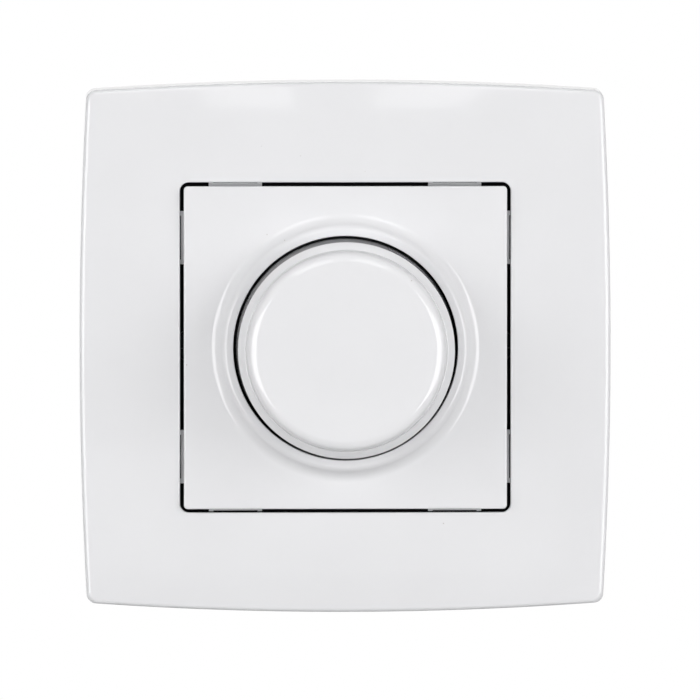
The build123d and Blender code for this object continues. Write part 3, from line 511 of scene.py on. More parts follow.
    def camera(self) -> None:
        """Sets the camera at the photograph's angle."""
        data = bpy.data.cameras.new("front_camera")
        data.sensor_width = self.sensor
        data.lens = data.sensor_width * self.distance / self.view_width
        data.clip_start, data.clip_end = self.clip
        camera = bpy.data.objects.new("front_camera", data)
        bpy.context.scene.collection.objects.link(camera)
        away, up = math.radians(self.azimuth), math.radians(self.elevation)
        back = Vector((math.sin(away) * math.cos(up), -math.cos(away) * math.cos(up), math.sin(up)))
        camera.location = Vector(self.aim) + back * self.distance
        camera.rotation_euler = back.to_track_quat("Z", "Y").to_euler()
        bpy.context.scene.camera = camera


PlaceTest = Callable[[Vector], bool]
Corner = tuple[float, float, float]


class Bench:
    """One new mesh on the bench, shaped by operators in edit mode.

    Sizes are in millimetres. A place is x to the right, out over the wall, and up.
    """

    # Cuts in each side of a square, facets of a round corner, and the bevel profile of a circle's arc.
    SIDE_CUTS = 23
    CORNER_STEPS = 8
    ARC = 0.5
    # How close a point is to a place, a drawn corner or a height to count as there, and how close points
    # are that merge.
    NEAR = 0.01
    NEAR_CORNER = 0.005
    NEAR_HEIGHT = 0.001
    MERGE = 0.002

    def __init__(self, name: str) -> None:
        """Starts an empty mesh and opens it in edit mode.

        Args:
            name: The piece's name.
        """
        bpy.ops.object.select_all(action="DESELECT")
        bpy.ops.mesh.primitive_plane_add(size=MM)
        self.piece = bpy.context.object
        self.piece.name = name
        self.piece.data.name = name
        bpy.ops.object.mode_set(mode="EDIT")
        bpy.ops.mesh.select_mode(type="VERT")
        bpy.ops.mesh.delete(type="VERT")

    def pick(self, test: PlaceTest) -> None:
        """Selects shown points and the edges between them.

        Args:
            test: Tells from a point's place whether it is picked.
        """
        shape = bmesh.from_edit_mesh(self.piece.data)
        for point in shape.verts:
            point.select_set(False)
        for point in shape.verts:
            if not point.hide and test(Vector((point.co.x, -point.co.y, point.co.z)) / MM):
                point.select_set(True)
        shape.select_flush_mode()
        bmesh.update_edit_mesh(self.piece.data)

    def pick_creases(self, test: PlaceTest) -> None:
        """Selects sharp edges.

        Args:
            test: Tells from the place of an edge's middle whether it is picked.
        """
        bpy.ops.mesh.select_all(action="SELECT")
        bpy.ops.mesh.normals_make_consistent(inside=False)
        bpy.ops.mesh.select_mode(type="EDGE")
        bpy.ops.mesh.select_all(action="DESELECT")
        shape = bmesh.from_edit_mesh(self.piece.data)
        for edge in shape.edges:
            middle = (edge.verts[0].co + edge.verts[1].co) / (2 * MM)
            bent = edge.is_manifold and edge.calc_face_angle(0.0) > SHARP
            if bent and test(Vector((middle.x, -middle.y, middle.z))):
                edge.select_set(True)
        bmesh.update_edit_mesh(self.piece.data)

    def bevel_creases(self, test: PlaceTest, width: float, steps: int, fullness: float = ARC) -> None:
        """Rounds sharp edges.

        Args:
            test: Tells from the place of an edge's middle whether it is rounded.
            width: How far the round reaches from the edge.
            steps: Facets of the round.
            fullness: The bevel's profile, which fills the corner more where it is over that of an arc.
        """
        self.pick_creases(test)
        bpy.ops.mesh.bevel(affect="EDGES", offset=width * MM, offset_type="OFFSET", segments=steps,
                           profile=fullness, clamp_overlap=False)
        bpy.ops.mesh.select_mode(type="VERT")

    def put_away(self) -> None:
        """Hides everything, so that the next steps leave it alone."""
        bpy.ops.mesh.select_all(action="SELECT")
        bpy.ops.mesh.hide(unselected=False)

    def square(self, half_x: float, half_z: float, out: float, corner: float,
               bow_x: float = 0.0, bow_z: float = 0.0) -> None:
        """Adds a wire square with rounded corners and leaves it selected, with all else hidden.

        Args:
            half_x: Half its width at the corners.
            half_z: Half its height at the corners.
            out: Its height over the wall.
            corner: Radius of its corners.
            bow_x: How far its left and right sides bow out.
            bow_z: How far its upper and lower sides bow out.
        """
        self.put_away()
        middle = (0.0, -out * MM, 0.0)
        bpy.ops.mesh.primitive_plane_add(size=2 * MM, location=middle, rotation=(math.pi / 2, 0.0, 0.0))
        bpy.ops.transform.resize(value=(half_x, 1.0, half_z), center_override=middle)
        bpy.ops.mesh.delete(type="ONLY_FACE")
        bpy.ops.mesh.select_all(action="SELECT")
        bpy.ops.mesh.subdivide(number_cuts=self.SIDE_CUTS)
        for right, up, bow, reach in ((1, 0, bow_x, half_z), (-1, 0, bow_x, half_z),
                                      (0, 1, bow_z, half_x), (0, -1, bow_z, half_x)):
            if bow:
                side = Vector((right * half_x, out, up * half_z))
                self.pick(lambda place: (place - side).length < self.NEAR)
                bpy.ops.transform.translate(
                    value=(right * bow * MM, 0.0, up * bow * MM), use_proportional_edit=True,
                    proportional_edit_falloff="INVERSE_SQUARE", proportional_size=reach * MM)
        self.pick(lambda place: abs(place.x) > half_x - self.NEAR and abs(place.z) > half_z - self.NEAR)
        bpy.ops.mesh.bevel(affect="VERTICES", offset=corner * MM, offset_type="OFFSET",
                           segments=self.CORNER_STEPS, profile=self.ARC, clamp_overlap=False)
        bpy.ops.mesh.select_all(action="SELECT")

    def ring(self, radius: float, out: float, points: int) -> None:
        """Adds a wire circle about the knob's axis and leaves it selected, with all else hidden.

        Args:
            radius: Its radius.
            out: Its height over the wall.
            points: How many points it has.
        """
        self.put_away()
        bpy.ops.mesh.primitive_circle_add(vertices=points, radius=radius * MM,
                                          location=(0.0, -out * MM, 0.0), rotation=(math.pi / 2, 0.0, 0.0))

    def push(self, out: float, scale: float = 1.0) -> None:
        """Extrudes the selected loop.

        Args:
            out: How far it goes out from the wall.
            scale: How much it grows about the knob's axis.
        """
        bpy.ops.mesh.extrude_edges_move(TRANSFORM_OT_translate={"value": (0.0, -out * MM, 0.0)})
        if scale != 1.0:
            bpy.ops.transform.resize(value=(scale, 1.0, scale), center_override=(0.0, 0.0, 0.0))

    def bridge(self, out: float, cuts: int = 0) -> None:
        """Shows everything and fills the space between two loops.

        Args:
            out: The height that both loops have.
            cuts: Rings of edges between them.
        """
        bpy.ops.mesh.reveal(select=False)
        self.pick(lambda place: abs(place.y - out) < self.NEAR_HEIGHT)
        bpy.ops.mesh.bridge_edge_loops(number_cuts=cuts, interpolation="LINEAR")

    def swell(self, out: float, reach: float, height: float) -> None:
        """Raises what is flat at one height over the wall into a shallow dome.

        Args:
            out: The height of the flat part.
            reach: Radius at which the dome comes down to the flat again.
            height: Height of its crest over the flat.
        """
        self.pick(lambda place: abs(place.y - out) > self.NEAR_HEIGHT)
        bpy.ops.mesh.hide(unselected=False)
        bpy.ops.mesh.primitive_plane_add(size=MM, location=(0.0, -out * MM, 0.0))
        bpy.ops.mesh.merge(type="CENTER")
        bpy.ops.transform.translate(
            value=(0.0, -height * MM, 0.0), use_proportional_edit=True,
            proportional_edit_falloff="INVERSE_SQUARE", proportional_size=reach * MM)
        bpy.ops.mesh.delete(type="VERT")
        bpy.ops.mesh.reveal(select=False)

    def block(self, low: Corner, high: Corner) -> None:
        """Adds a block and leaves it selected.

        Args:
            low: One corner's place.
            high: The place of the corner across from it.
        """
        bpy.ops.mesh.select_all(action="DESELECT")
        middle = [(a + b) / 2 * MM for a, b in zip(low, high)]
        middle[1] = -middle[1]
        span = [abs(b - a) for a, b in zip(low, high)]
        bpy.ops.mesh.primitive_cube_add(size=MM, location=middle)
        bpy.ops.transform.resize(value=span, center_override=middle)

    def profile(self, points: list[Corner]) -> None:
        """Draws half a section as a wire.

        Args:
            points: Radius, height over the wall and rounding of each corner.
        """
        radius, out, _ = points[0]
        bpy.ops.mesh.primitive_plane_add(size=MM, location=(radius * MM, -out * MM, 0.0))
        bpy.ops.mesh.merge(type="CENTER")
        for (r0, h0, _), (r1, h1, _) in zip(points, points[1:]):
            bpy.ops.mesh.extrude_vertices_move(
                TRANSFORM_OT_translate={"value": ((r1 - r0) * MM, (h0 - h1) * MM, 0.0)})
        for before, (radius, out, rounding), after in zip(points, points[1:], points[2:]):
            if not rounding:
                continue
            here = Vector((radius, out, 0.0))
            turn = (here - Vector((*before[:2], 0.0))).angle(Vector((*after[:2], 0.0)) - here)
            self.pick(lambda place: (place - here).length < self.NEAR_CORNER)
            bpy.ops.mesh.bevel(affect="VERTICES", offset=rounding * math.tan(turn / 2) * MM,
                               offset_type="OFFSET", segments=self.CORNER_STEPS, profile=self.ARC,
                               clamp_overlap=False)

    def spin(self, steps: int) -> None:
        """Turns all of the wire about the knob's axis."""
        bpy.ops.mesh.select_all(action="SELECT")
        bpy.ops.mesh.spin(steps=steps, angle=2 * math.pi, center=(0.0, 0.0, 0.0), axis=(0.0, 1.0, 0.0))

    def wind(self, turns: int, steps: int) -> None:
        """Winds a wire about the knob's axis and closes both ends.

        The wire is drawn towards the wall, so that it winds right-handed with its faces outwards.

        Args:
            turns: How often it goes round, each time by the wire's own height.
            steps: Facets of a turn.
        """
        bpy.ops.mesh.select_all(action="SELECT")
        bpy.ops.mesh.screw(steps=steps, turns=turns, center=(0.0, 0.0, 0.0), axis=(0.0, -1.0, 0.0))
        bpy.ops.mesh.select_all(action="SELECT")
        bpy.ops.mesh.remove_doubles(threshold=self.MERGE * MM)
        self.pick(lambda place: math.hypot(place.x, place.z) < self.NEAR)
        bpy.ops.mesh.delete(type="VERT")
        places = [point.co.y for point in bmesh.from_edit_mesh(self.piece.data).verts]
        middle = (min(places) + max(places)) / 2
        bpy.ops.mesh.select_mode(type="EDGE")
        for back in (True, False):
            bpy.ops.mesh.select_all(action="DESELECT")
            shape = bmesh.from_edit_mesh(self.piece.data)
            for edge in shape.edges:
                edge.select_set(edge.is_boundary and (edge.verts[0].co.y > middle) == back)
            bmesh.update_edit_mesh(self.piece.data)
            bpy.ops.mesh.edge_face_add()
        bpy.ops.mesh.select_mode(type="VERT")

    def close(self) -> bpy.types.Object:
        """Merges doubles, turns the faces outwards and leaves edit mode.

        Returns:
            The piece.
        """
        bpy.ops.mesh.reveal(select=False)
        bpy.ops.mesh.select_all(action="SELECT")
        bpy.ops.mesh.remove_doubles(threshold=self.MERGE * MM)
        bpy.ops.mesh.normals_make_consistent(inside=False)
        bpy.ops.object.mode_set(mode="OBJECT")
        return self.piece


class Joining(Enum):
    """What one mesh does to another, with the name of the Boolean operation."""

    ADD = "UNION"
    CUT = "DIFFERENCE"
    TRIM = "INTERSECT"


def choose(piece: bpy.types.Object) -> None:
    """Selects one object alone and makes it the active one.

    Args:
        piece: The object.
    """
    bpy.ops.object.select_all(action="DESELECT")
    piece.select_set(True)
    bpy.context.view_layer.objects.active = piece


def combine(piece: bpy.types.Object, tool: bpy.types.Object, joining: Joining,
            overlaps: bool = False) -> None:
    """Adds one mesh to another, cuts it away or trims to it, and removes the tool.

    Args:
        piece: The piece that is kept.
        tool: What is added, is cut away or sets the limits.
        joining: Which of these the tool does.
        overlaps: Whether blocks of one mesh run into each other.
    """
    step = piece.modifiers.new("shape", "BOOLEAN")
    step.operation = joining.value
    step.solver = "EXACT"
    step.use_self = overlaps
    step.object = tool
    choose(piece)
    bpy.ops.object.modifier_apply(modifier=step.name)
    bpy.data.objects.remove(tool)


def hand_over(piece: bpy.types.Object, finish: Finish, body: str, slot: str, *nodes: str) -> None:
    """Smooths a piece, dresses it and lets it stand for its solids.

    Args:
        piece: The finished mesh.
        finish: Its surface.
        body: The body that it rides on.
        slot: The record's slot of its finish, which is not used.
        *nodes: The solids that it stands for.
    """
    choose(piece)
    bpy.ops.object.shade_smooth_by_angle(angle=SMOOTH)
    even = piece.modifiers.new("even", "WEIGHTED_NORMAL")
    even.keep_sharp = True
    even.weight = EVEN_WEIGHT
    bpy.ops.object.modifier_apply(modifier=even.name)
    piece.data.materials.clear()
    piece.data.materials.append(finish.material())
    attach(piece, body)
    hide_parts(*nodes)
    log.info("built %s with %d faces for %s", piece.name, len(piece.data.polygons), ", ".join(nodes))


@dataclass
class CoverFrame:
    """The square frame round the centre plate: bowed sides, shallow dome, hollow back."""

    half_x: float = 39.87  # half its width at the corners
    half_z: float = 39.6  # half its height at the corners
    bow_x: float = 1.13  # how far the left and right sides bow out
    bow_z: float = 1.38  # how far the upper and lower sides bow out
    corner: float = 1.33  # radius of the outer corners
    draft: float = 0.998  # size of the front's outline against the back's
    edge: float = 0.8  # round of the outer front edge
    edge_steps: int = 10
    edge_fullness: float = 0.63  # profile of that round, fuller than an arc
    edge_over: float = 5.0  # the outer edge lies over this height
    edge_beyond: float = 38.5  # and beyond this distance
    wall: float = 2.0  # thickness of front and sides
    inner_corner: float = 0.55  # radius of the hollow's corners
    crest: float = 8.5  # height of the dome's middle
    dome_r: float = 650.0  # radius of the dome's curve
    dome_reach: float = 60.0  # distance at which the dome is down to the flat
    dome_cuts: int = 13  # rings of edges in the front
    hollow_cuts: int = 5  # rings of edges in the hollow's top
    window: float = 25.45  # half the window's width
    window_corner: float = 1.35  # radius of its corners
    window_edge: float = 0.3  # round of its front edge
    window_edge_steps: int = 5
    window_edge_over: float = 7.0  # this edge lies over this height
    window_edge_within: float = 26.0  # and within this distance
    lip_back: float = 6.8  # back of the window's straight side
    flare: float = 0.4  # how far the window widens behind it
    skirt: float = 1.4  # from the window to the skirt's outside
    skirt_back: float = 3.6
    rib_at: float = 16.9  # distance of the ribs from the middle of a side
    rib_t: float = 1.2
    rib_back: float = 4.4
    rib_short: float = 1.2  # how far the ribs end before the outer face
    rise_into_dome: float = 2.6  # how far ribs and posts run up into the front
    overlap: float = 0.2  # how far blocks run into what they stand on
    post: tuple[float, float] = (31.62, 33.22)  # clip posts, from and to left and right
    post_at: float = 22.0  # and how far up and down
    post_half: float = 3.0
    post_back: float = 1.6
    nib_from: float = 31.0  # nibs on the posts, from left and right
    nib_half: float = 1.48
    nib: tuple[float, float] = (2.52, 3.68)  # back and front of the nibs

    def build(self) -> None:
        """Models the frame and gives it its finish."""
        bench = Bench("cover_frame_shell")
        rise = self.dome_reach ** 2 / (2 * self.dome_r)
        front = self.crest - rise
        under = front - self.wall
        bench.square(self.half_x, self.half_z, 0.0, self.corner, self.bow_x, self.bow_z)
        bench.push(front, self.draft)
        bench.square(self.window, self.window, front, self.window_corner)
        bench.push(self.lip_back - front)
        bench.push(self.skirt_back - self.lip_back, 1 + self.flare / self.window)
        outside = self.window + self.skirt
        bench.push(0.0, outside / (self.window + self.flare))
        bench.push(under - self.skirt_back)
        bench.square(self.half_x - self.wall, self.half_z - self.wall, under, self.inner_corner,
                     self.bow_x, self.bow_z)
        bench.push(-under)
        bench.bridge(front, self.dome_cuts)
        bench.bridge(under, self.hollow_cuts)
        bench.bridge(0.0)
        bench.swell(front, self.dome_reach, rise)
        bench.swell(under, self.dome_reach, rise)
        bench.bevel_creases(lambda place: place.y > self.edge_over and
                            max(abs(place.x), abs(place.z)) > self.edge_beyond,
                            self.edge, self.edge_steps, self.edge_fullness)
        bench.bevel_creases(lambda place: place.y > self.window_edge_over and
                            max(abs(place.x), abs(place.z)) < self.window_edge_within,
                            self.window_edge, self.window_edge_steps)
        shell = bench.close()
        combine(shell, self.stiffeners(under), Joining.ADD)
        hand_over(shell, FRAME_WHITE, "base", "frame_white", "cover_frame")

    def stiffeners(self, under: float) -> bpy.types.Object:
        """Models the ribs between skirt and outer wall and the four clip posts.

        Args:
            under: Height of the flat that the hollow's dome rises from.

        Returns:
            The ribs and posts as one mesh.
        """
        bench = Bench("frame_stiffeners")
        near = self.window + self.flare + self.overlap
        far = self.half_x + self.bow_x - self.rib_short
        top = under + self.rise_into_dome
        half = self.rib_t / 2
        for side in (-1, 1):
            for at in (-self.rib_at, self.rib_at):
                bench.block((side * near, self.rib_back, at - half), (side * far, top, at + half))
                bench.block((at - half, self.rib_back, side * near), (at + half, top, side * far))
            for up in (-1, 1):
                middle = up * self.post_at
                bench.block((side * self.post[0], self.post_back, middle - self.post_half),
                            (side * self.post[1], top, middle + self.post_half))
                bench.block((side * self.nib_from, self.nib[0], middle - self.nib_half),
                            (side * (self.post[0] + self.overlap), self.nib[1], middle + self.nib_half))
        return bench.close()


@dataclass
class CentrePlate:
    """The square plate that fills the frame's window, with the collar round the knob."""

    half: float = 24.88  # half its width
    corner: float = 0.6
    front: float = 8.6  # height of its face
    front_cuts: int = 9  # rings of edges in the face
    back_cuts: int = 3  # rings of edges behind it
    edge: float = 0.25  # round of the face's edge
    edge_steps: int = 4
    edge_depth: float = 0.1  # this edge lies within this depth
    edge_width: float = 0.5  # and within this distance of the side
    lip: float = 1.1  # height of the thin edge
    set_back: float = 0.6  # from the thin edge to the skirt
    wall: float = 1.3  # thickness of the skirt
    thick: float = 1.8  # thickness of the plate
    skirt_back: float = 3.6
    points: int = 128  # facets of the collar
    foot_r: float = 20.8  # where the collar begins to rise
    lip_r: float = 18.2  # where its flat top begins
    collar: float = 1.35  # its height over the face
    sweep_steps: int = 14
    round_r: float = 1.1  # the round into its top
    round_steps: int = 10
    flat_from_hole: float = 0.3  # end of its flat top, from the hole
    hole_r: float = 17.3  # the hole for the knob
    hole_edge: float = 0.15
    hole_edge_steps: int = 4
    tube_wall: float = 1.3  # the tube behind the hole
    tube_back: float = 5.4
    tab_at: float = 16.9  # distance of the tabs from the middle of a side
    tab_half: float = 4.1
    tab_reach: float = 0.41  # from the plate's side to a tab's face
    tab_end: float = 0.7  # length of the ends that bear on the frame
    tab_end_reach: float = 0.53  # from the plate's side to the ends' faces
    tab_upright: tuple[float, float] = (5.0, 6.4)  # back and front of the tabs left and right
    tab_level: tuple[float, float] = (4.2, 5.2)  # back and front of the tabs above and below
    tab_step: float = 0.01  # shortens a tab by a hair against its ends
    tab_end_step: float = 0.02  # moves the ends by a hair against the tab
    leg_x: tuple[float, float] = (20.8, 22.2)  # snap legs, from and to left and right
    leg_z: tuple[float, float] = (10.5, 15.5)  # from and to up and down
    leg_back: float = -1.7
    leg_overlap: float = 0.4  # how far they run into the plate
    hook: float = 0.8  # how far a hook stands out
    hook_play: float = 0.1  # between hook and support plate
    hook_overlap: float = 0.3  # how far a hook runs into its leg
    hook_slope: float = 1.2  # rise of a hook's back to its tip

    def collar_steps(self) -> list[tuple[float, float]]:
        """Works out the collar's section from its foot to its hole.

        Returns:
            Radius and height over the wall of each ring.
        """
        across = self.foot_r - self.lip_r
        sweep = (across ** 2 + self.collar ** 2 - 2 * self.round_r * self.collar) / (2 * self.collar)
        lean = math.asin(across / (sweep + self.round_r))
        top = self.front + self.collar
        steps = []
        for i in range(1, self.sweep_steps + 1):
            turn = lean * i / self.sweep_steps
            steps.append((self.foot_r - sweep * math.sin(turn), self.front + sweep * (1 - math.cos(turn))))
        for i in range(1, self.round_steps + 1):
            turn = lean * (1 - i / self.round_steps)
            steps.append((self.lip_r + self.round_r * math.sin(turn),
                          top - self.round_r * (1 - math.cos(turn))))
        steps.append((self.hole_r + self.flat_from_hole, top))
        for i in range(self.hole_edge_steps + 1):
            turn = math.radians(90 * i / self.hole_edge_steps)
            steps.append((self.hole_r + self.hole_edge * (1 - math.sin(turn)),
                          top - self.hole_edge * (1 - math.cos(turn))))
        return steps

    def build(self) -> None:
        """Models the plate and gives it its finish."""
        bench = Bench("centre_plate_shell")
        bench.square(self.half, self.half, self.front, self.corner)
        skirt = self.half - self.set_back
        inside = skirt - self.wall
        under = self.front - self.thick
        bench.push(-self.lip)
        bench.push(0.0, skirt / self.half)
        bench.push(self.skirt_back - self.front + self.lip)
        bench.push(0.0, inside / skirt)
        bench.push(under - self.skirt_back)
        bench.ring(self.foot_r, self.front, self.points)
        radius, out = self.foot_r, self.front
        tube = self.hole_r + self.tube_wall
        ends = [(self.hole_r, self.tube_back), (tube, self.tube_back), (tube, under)]
        for next_radius, next_out in self.collar_steps() + ends:
            bench.push(next_out - out, next_radius / radius)
            radius, out = next_radius, next_out
        bench.bridge(self.front, self.front_cuts)
        bench.bridge(under, self.back_cuts)
        bench.bevel_creases(lambda place: place.y > self.front - self.edge_depth and
                            max(abs(place.x), abs(place.z)) > self.half - self.edge_width,
                            self.edge, self.edge_steps)
        plate = bench.close()
        combine(plate, self.fittings(skirt), Joining.ADD)
        hand_over(plate, PLATE_WHITE, "base", "plate_white", "centre_plate")

    def fittings(self, skirt: float) -> bpy.types.Object:
        """Joins the centring tabs and the snap legs.

        Args:
            skirt: Half the width over the skirt.

        Returns:
            The tabs and legs as one mesh.
        """
        fittings = self.tabs(skirt - self.wall / 2)
        combine(fittings, self.legs(), Joining.ADD, overlaps=True)
        return fittings

    def tabs(self, root: float) -> bpy.types.Object:
        """Models the centring tabs, which bear on the frame at their ends.

        The ends are set off by a hair in depth and length, so that no two faces lie in one plane.

        Args:
            root: Distance from the middle at which the tabs begin.

        Returns:
            All tabs as one mesh.
        """
        bench = Bench("plate_fittings")
        reach, end_reach = self.half + self.tab_reach, self.half + self.tab_end_reach
        for side in (-1, 1):
            for at in (-self.tab_at, self.tab_at):
                low, high = at - self.tab_half, at + self.tab_half
                for start, end, far, step in (
                    (low + self.tab_step, high - self.tab_step, reach, 0.0),
                    (low, low + self.tab_end, end_reach, self.tab_end_step),
                    (high - self.tab_end, high, end_reach, self.tab_end_step),
                ):
                    back, front = self.tab_upright
                    bench.block((side * (root + step), back + step, start), (side * far, front + step, end))
                    back, front = self.tab_level
                    bench.block((start, back + step, side * (root + step)), (end, front + step, side * far))
        return bench.close()

    def legs(self) -> bpy.types.Object:
        """Models the snap legs, whose hooks slope at the back.

        Returns:
            All legs as one mesh.
        """
        bench = Bench("plate_legs")
        top = self.front - self.thick + self.leg_overlap
        near, far = self.leg_x
        for side in (-1, 1):
            for up in (-1, 1):
                low, high = up * self.leg_z[0], up * self.leg_z[1]
                tip = side * (far + self.hook)
                bench.block((side * near, self.leg_back, low), (side * far, top, high))
                bench.block((side * (far - self.hook_overlap), self.leg_back, low),
                            (tip, -self.hook_play, high))
                bench.pick(lambda place: abs(place.x - tip) < bench.NEAR and place.z * up > 0
                           and place.y < self.leg_back + bench.NEAR)
                bpy.ops.transform.translate(value=(0.0, -self.hook_slope * MM, 0.0))
        return bench.close()


@dataclass
class Knob:
    """The knob that is turned and pushed: skirt, shoulder, steep side and crowned face."""

    steps: int = 224  # facets round the axis
    face: float = 19.6  # height of the face's middle
    crown_r: float = 230.0  # radius of the face's crown
    crown_rings: tuple[float, ...] = (0.0, 3.0, 6.0, 9.0, 11.5)  # radii at which the crown is drawn
    face_r: float = 13.72  # where the crown goes over into the ease
    ease_r: float = 3.2  # first arc of the rim
    ease_lean: float = 20.0  # its slope at its end, in degrees
    rim_r: float = 1.05  # second arc of the rim
    rim_lean: float = 80.0  # its slope at its end, in degrees
    rim_steps: int = 10  # facets of each arc
    ledge_r: float = 15.52  # foot of the steep side, on a fine ledge
    ledge_out: float = 16.93
    ledge_round: float = 0.06
    shoulder_r: float = 15.65  # inner edge of the shoulder
    shoulder_out: float = 16.9
    shoulder_round: float = 0.04
    skirt_r: float = 16.65
    crease_out: float = 16.2  # height of the shoulder's outer edge
    crease_round: float = 0.35
    back: float = 7.5  # height of the skirt's back
    back_round: float = 0.15
    inner_round: float = 0.1
    draft: float = 0.2  # how far the skirt widens to its back
    wall: float = 1.4
    top: float = 1.8  # thickness of the face
    hub_r: float = 5.0
    hub_back: float = 9.2
    bore_r: float = 3.03
    bore_end: float = 16.65
    clip: tuple[float, float] = (10.0, 12.2)  # groove of the spring ring, back and front
    clip_t: float = 0.6  # depth of that groove
    slit_half: float = 0.6  # half the width of the slit in the hub
    slit_end: float = 14.0
    slit_over_back: float = 0.5  # how far the cut runs out at the back
    slit_over_side: float = 0.2  # and at the sides
    ribs: int = 6
    rib_half: float = 0.6
    rib_back: float = 13.6
    rib_front: float = 18.6
    rib_overlap: float = 0.3  # how far the ribs run into the hub
    rib_short: float = 1.6  # how far they end before the skirt's middle

    def section(self) -> list[Corner]:
        """Lists the knob's half section.

        Returns:
            Radius, height over the wall and rounding of each corner.
        """
        crown = [(r, self.face - r * r / (2 * self.crown_r), 0.0) for r in self.crown_rings]
        radius, out = self.face_r, self.face - self.face_r ** 2 / (2 * self.crown_r)
        lean = math.asin(self.face_r / self.crown_r)
        rim = [(radius, out, 0.0)]
        for bend, end in ((self.ease_r, self.ease_lean), (self.rim_r, self.rim_lean)):
            begin, turn = lean, (math.radians(end) - lean) / self.rim_steps
            for i in range(self.rim_steps):
                lean = begin + turn * (i + 1)
                radius += bend * (math.sin(lean) - math.sin(lean - turn))
                out -= bend * (math.cos(lean - turn) - math.cos(lean))
                rim.append((radius, out, 0.0))
        inner = self.skirt_r - self.wall
        groove = self.hub_r - self.clip_t
        under = self.face - self.top
        return crown + rim + [
            (self.ledge_r, self.ledge_out, self.ledge_round),
            (self.shoulder_r, self.shoulder_out, self.shoulder_round),
            (self.skirt_r, self.crease_out, self.crease_round),
            (self.skirt_r + self.draft, self.back, self.back_round),
            (inner, self.back, self.inner_round), (inner, self.crease_out - self.wall, 0.0),
            (self.shoulder_r - self.wall, self.shoulder_out - self.wall, 0.0),
            (self.face_r - self.wall, under, 0.0), (self.hub_r, under, 0.0),
            (self.hub_r, self.clip[1], 0.0), (groove, self.clip[1], 0.0),
            (groove, self.clip[0], 0.0), (self.hub_r, self.clip[0], 0.0),
            (self.hub_r, self.hub_back, 0.0), (self.bore_r, self.hub_back, 0.0),
            (self.bore_r, self.bore_end, 0.0), (0.0, self.bore_end, 0.0),
        ]

    def build(self) -> None:
        """Models the knob and gives it its finish."""
        bench = Bench("knob_shell")
        bench.profile(self.section())
        bench.spin(self.steps)
        knob = bench.close()
        ribs = Bench("knob_ribs")
        near = self.hub_r - self.rib_overlap
        far = self.skirt_r - self.wall / 2 - self.rib_short
        for i in range(self.ribs):
            ribs.block((near, self.rib_back, -self.rib_half), (far, self.rib_front, self.rib_half))
            bpy.ops.transform.rotate(value=2 * math.pi * (i + 0.5) / self.ribs, orient_axis="Y",
                                     center_override=(0.0, 0.0, 0.0))
        combine(knob, ribs.close(), Joining.ADD)
        slit = Bench("knob_slit")
        side = self.hub_r + self.slit_over_side
        slit.block((-self.slit_half, self.hub_back - self.slit_over_back, -side),
                   (self.slit_half, self.slit_end, side))
        combine(knob, slit.close(), Joining.CUT)
        hand_over(knob, KNOB_WHITE, "knob", "knob_white", "knob")


@dataclass
class ClawScrews:
    """The two slotted screws that draw the claws, with their wound threads."""

    axis_x: float = 23.5  # distance from the knob's axis
    thread_r: float = 1.5
    root_r: float = 1.2
    pitch: float = 0.5
    flank_share: float = 0.3125  # shares of the pitch along the axis
    crest_share: float = 0.125
    thread_steps: int = 28
    spare_turns: int = 3  # turns wound beyond the seat
    back: float = -14.0  # end of the screw
    tip: float = 0.35  # length of its point
    seat: float = 1.05  # under the head
    head_r: float = 2.6
    head_t: float = 1.6
    head_round: float = 0.35
    slot_w: float = 0.8
    slot_depth: float = 0.7
    slot_over: float = 1.0  # how far the saw runs out
    steps: int = 56  # facets of shank and head
    shank_over: float = 0.05  # how far the trim clears the thread
    shank_overlap: float = 0.3  # how far the shank runs into the head

    def build(self) -> None:
        """Models the right-hand screw, copies it for the left, and hands both over."""
        bench = Bench("claw_screw_right_shell")
        low = self.back - 2 * self.pitch
        flank, crest = self.pitch * self.flank_share, self.pitch * self.crest_share
        bench.profile([(self.root_r, low + self.pitch, 0), (self.root_r, low + 2 * flank + crest, 0),
                       (self.thread_r, low + flank + crest, 0), (self.thread_r, low + flank, 0),
                       (self.root_r, low, 0)])
        bench.wind(round((self.seat - low) / self.pitch) + self.spare_turns, self.thread_steps)
        right = bench.close()
        combine(right, self.shank(), Joining.TRIM)
        combine(right, self.head(), Joining.ADD)
        right.location.x = self.axis_x * MM
        choose(right)
        bpy.ops.object.duplicate()
        left = bpy.context.object
        left.name = left.data.name = "claw_screw_left_shell"
        left.location.x = -self.axis_x * MM
        for side, screw in (("right", right), ("left", left)):
            choose(screw)
            bpy.ops.object.transform_apply(location=True)
            hand_over(screw, BLACK_OXIDE_AND_SHADE_STEEL, f"claw_screw_{side}", "zinc_steel", f"claw_screw_{side}")

    def shank(self) -> bpy.types.Object:
        """Turns the outline that cuts the thread to length and points its tip.

        Returns:
            The outline as a closed mesh.
        """
        bench = Bench("claw_screw_shank")
        over = self.thread_r + self.shank_over
        inside = self.seat + self.shank_overlap
        bench.profile([(0, self.back, 0), (over - self.tip, self.back, 0), (over, self.back + self.tip, 0),
                       (over, inside, 0), (0, inside, 0)])
        bench.spin(self.steps)
        return bench.close()

    def head(self) -> bpy.types.Object:
        """Turns the cheese head and saws its slot.

        Returns:
            The head as a closed mesh.
        """
        top = self.seat + self.head_t
        bench = Bench("claw_screw_head")
        bench.profile([(0, self.seat, 0), (self.head_r, self.seat, 0), (self.head_r, top, self.head_round),
                       (0, top, 0)])
        bench.spin(self.steps)
        head = bench.close()
        saw = Bench("claw_screw_slot")
        side = self.head_r + self.slot_over
        saw.block((-side, top - self.slot_depth, -self.slot_w / 2),
                  (side, top + self.slot_over, self.slot_w / 2))
        combine(head, saw.close(), Joining.CUT)
        return head


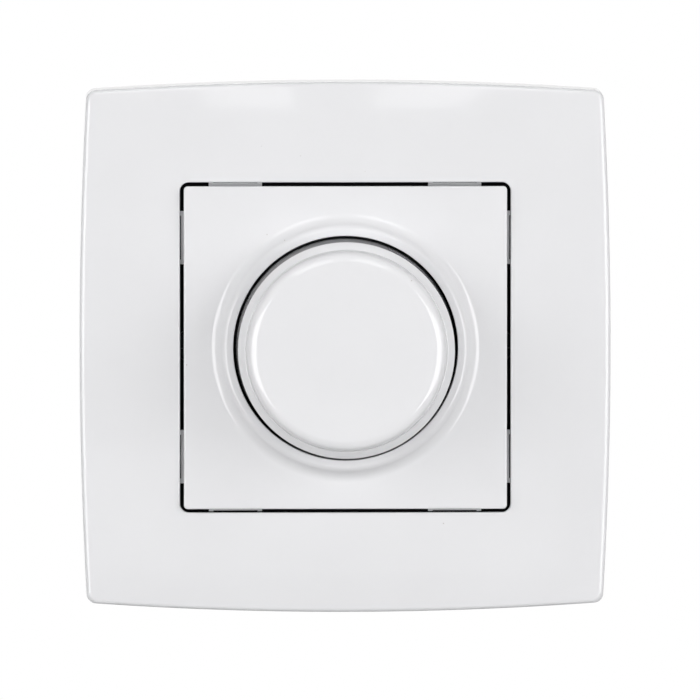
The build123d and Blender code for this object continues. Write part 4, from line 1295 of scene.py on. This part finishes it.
@dataclass
class PlungerSpring:
    """The wire spring that sends the switch plunger back."""

    coil_r: float = 2.4  # from the axis to the wire's middle
    wire_r: float = 0.2
    wire_points: int = 12  # facets of the wire
    turns: int = 3
    turn_steps: int = 36  # facets of a turn
    travel: float = 1.5  # of the plunger

    def build(self) -> None:
        """Winds the spring between plunger and switch body, and gives it a mesh of its own."""
        front, back = (corner[1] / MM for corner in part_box("plunger_spring"))
        length = back - front
        pitch = (length - 2 * self.wire_r) / self.turns
        start = self.wire_r - back
        bench = Bench("plunger_spring_coil")
        bench.profile([(0, start + pitch, 0), (0, start, 0)])
        bpy.ops.mesh.primitive_circle_add(vertices=self.wire_points, radius=self.wire_r * MM,
                                          location=(self.coil_r * MM, -start * MM, 0.0))
        bench.wind(self.turns, self.turn_steps)
        spring = bench.close()
        hand_over(spring, SPRING_STEEL, "base", "spring_steel", "plunger_spring")
        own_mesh(spring)


# Rounding in mm of edges that are left sharp in the solids: tumbled stampings and moulded corners.
NODE_EDGES = {
    "support_plate": 0.15, "claw_left": 0.12, "claw_right": 0.12, "housing": 0.25, "housing_lid": 0.2,
}
NODE_EDGE_STEPS = 2


def soften(node: bpy.types.Object, width: float) -> None:
    """Rounds a solid's sharp edges with a modifier.

    Args:
        node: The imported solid.
        width: How far the round reaches from the edge, in mm.
    """
    edge = node.modifiers.new("edges", "BEVEL")
    edge.width = width * MM
    edge.segments = NODE_EDGE_STEPS
    edge.limit_method = "ANGLE"
    edge.angle_limit = SHARP
    edge.harden_normals = False
    even = node.modifiers.new("even", "WEIGHTED_NORMAL")
    even.keep_sharp = True


def dress_nodes() -> None:
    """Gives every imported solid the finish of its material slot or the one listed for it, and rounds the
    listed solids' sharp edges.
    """
    for name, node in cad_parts.items():
        slot = node.data.materials[0].name
        finish = NODE_FINISHES.get(name, SLOT_FINISHES[slot])
        node.data.materials[0] = finish.material()
        if name in NODE_EDGES:
            soften(node, NODE_EDGES[name])
        log.info("dressed %s in %s", name, finish.name)


def main() -> None:
    """Builds the studio and dresses the dimmer."""
    logging.basicConfig(level=logging.INFO, format="%(name)s: %(message)s")
    Studio().build()
    dress_nodes()
    CoverFrame().build()
    CentrePlate().build()
    Knob().build()
    ClawScrews().build()
    PlungerSpring().build()


if __name__ == "__main__":
    main()
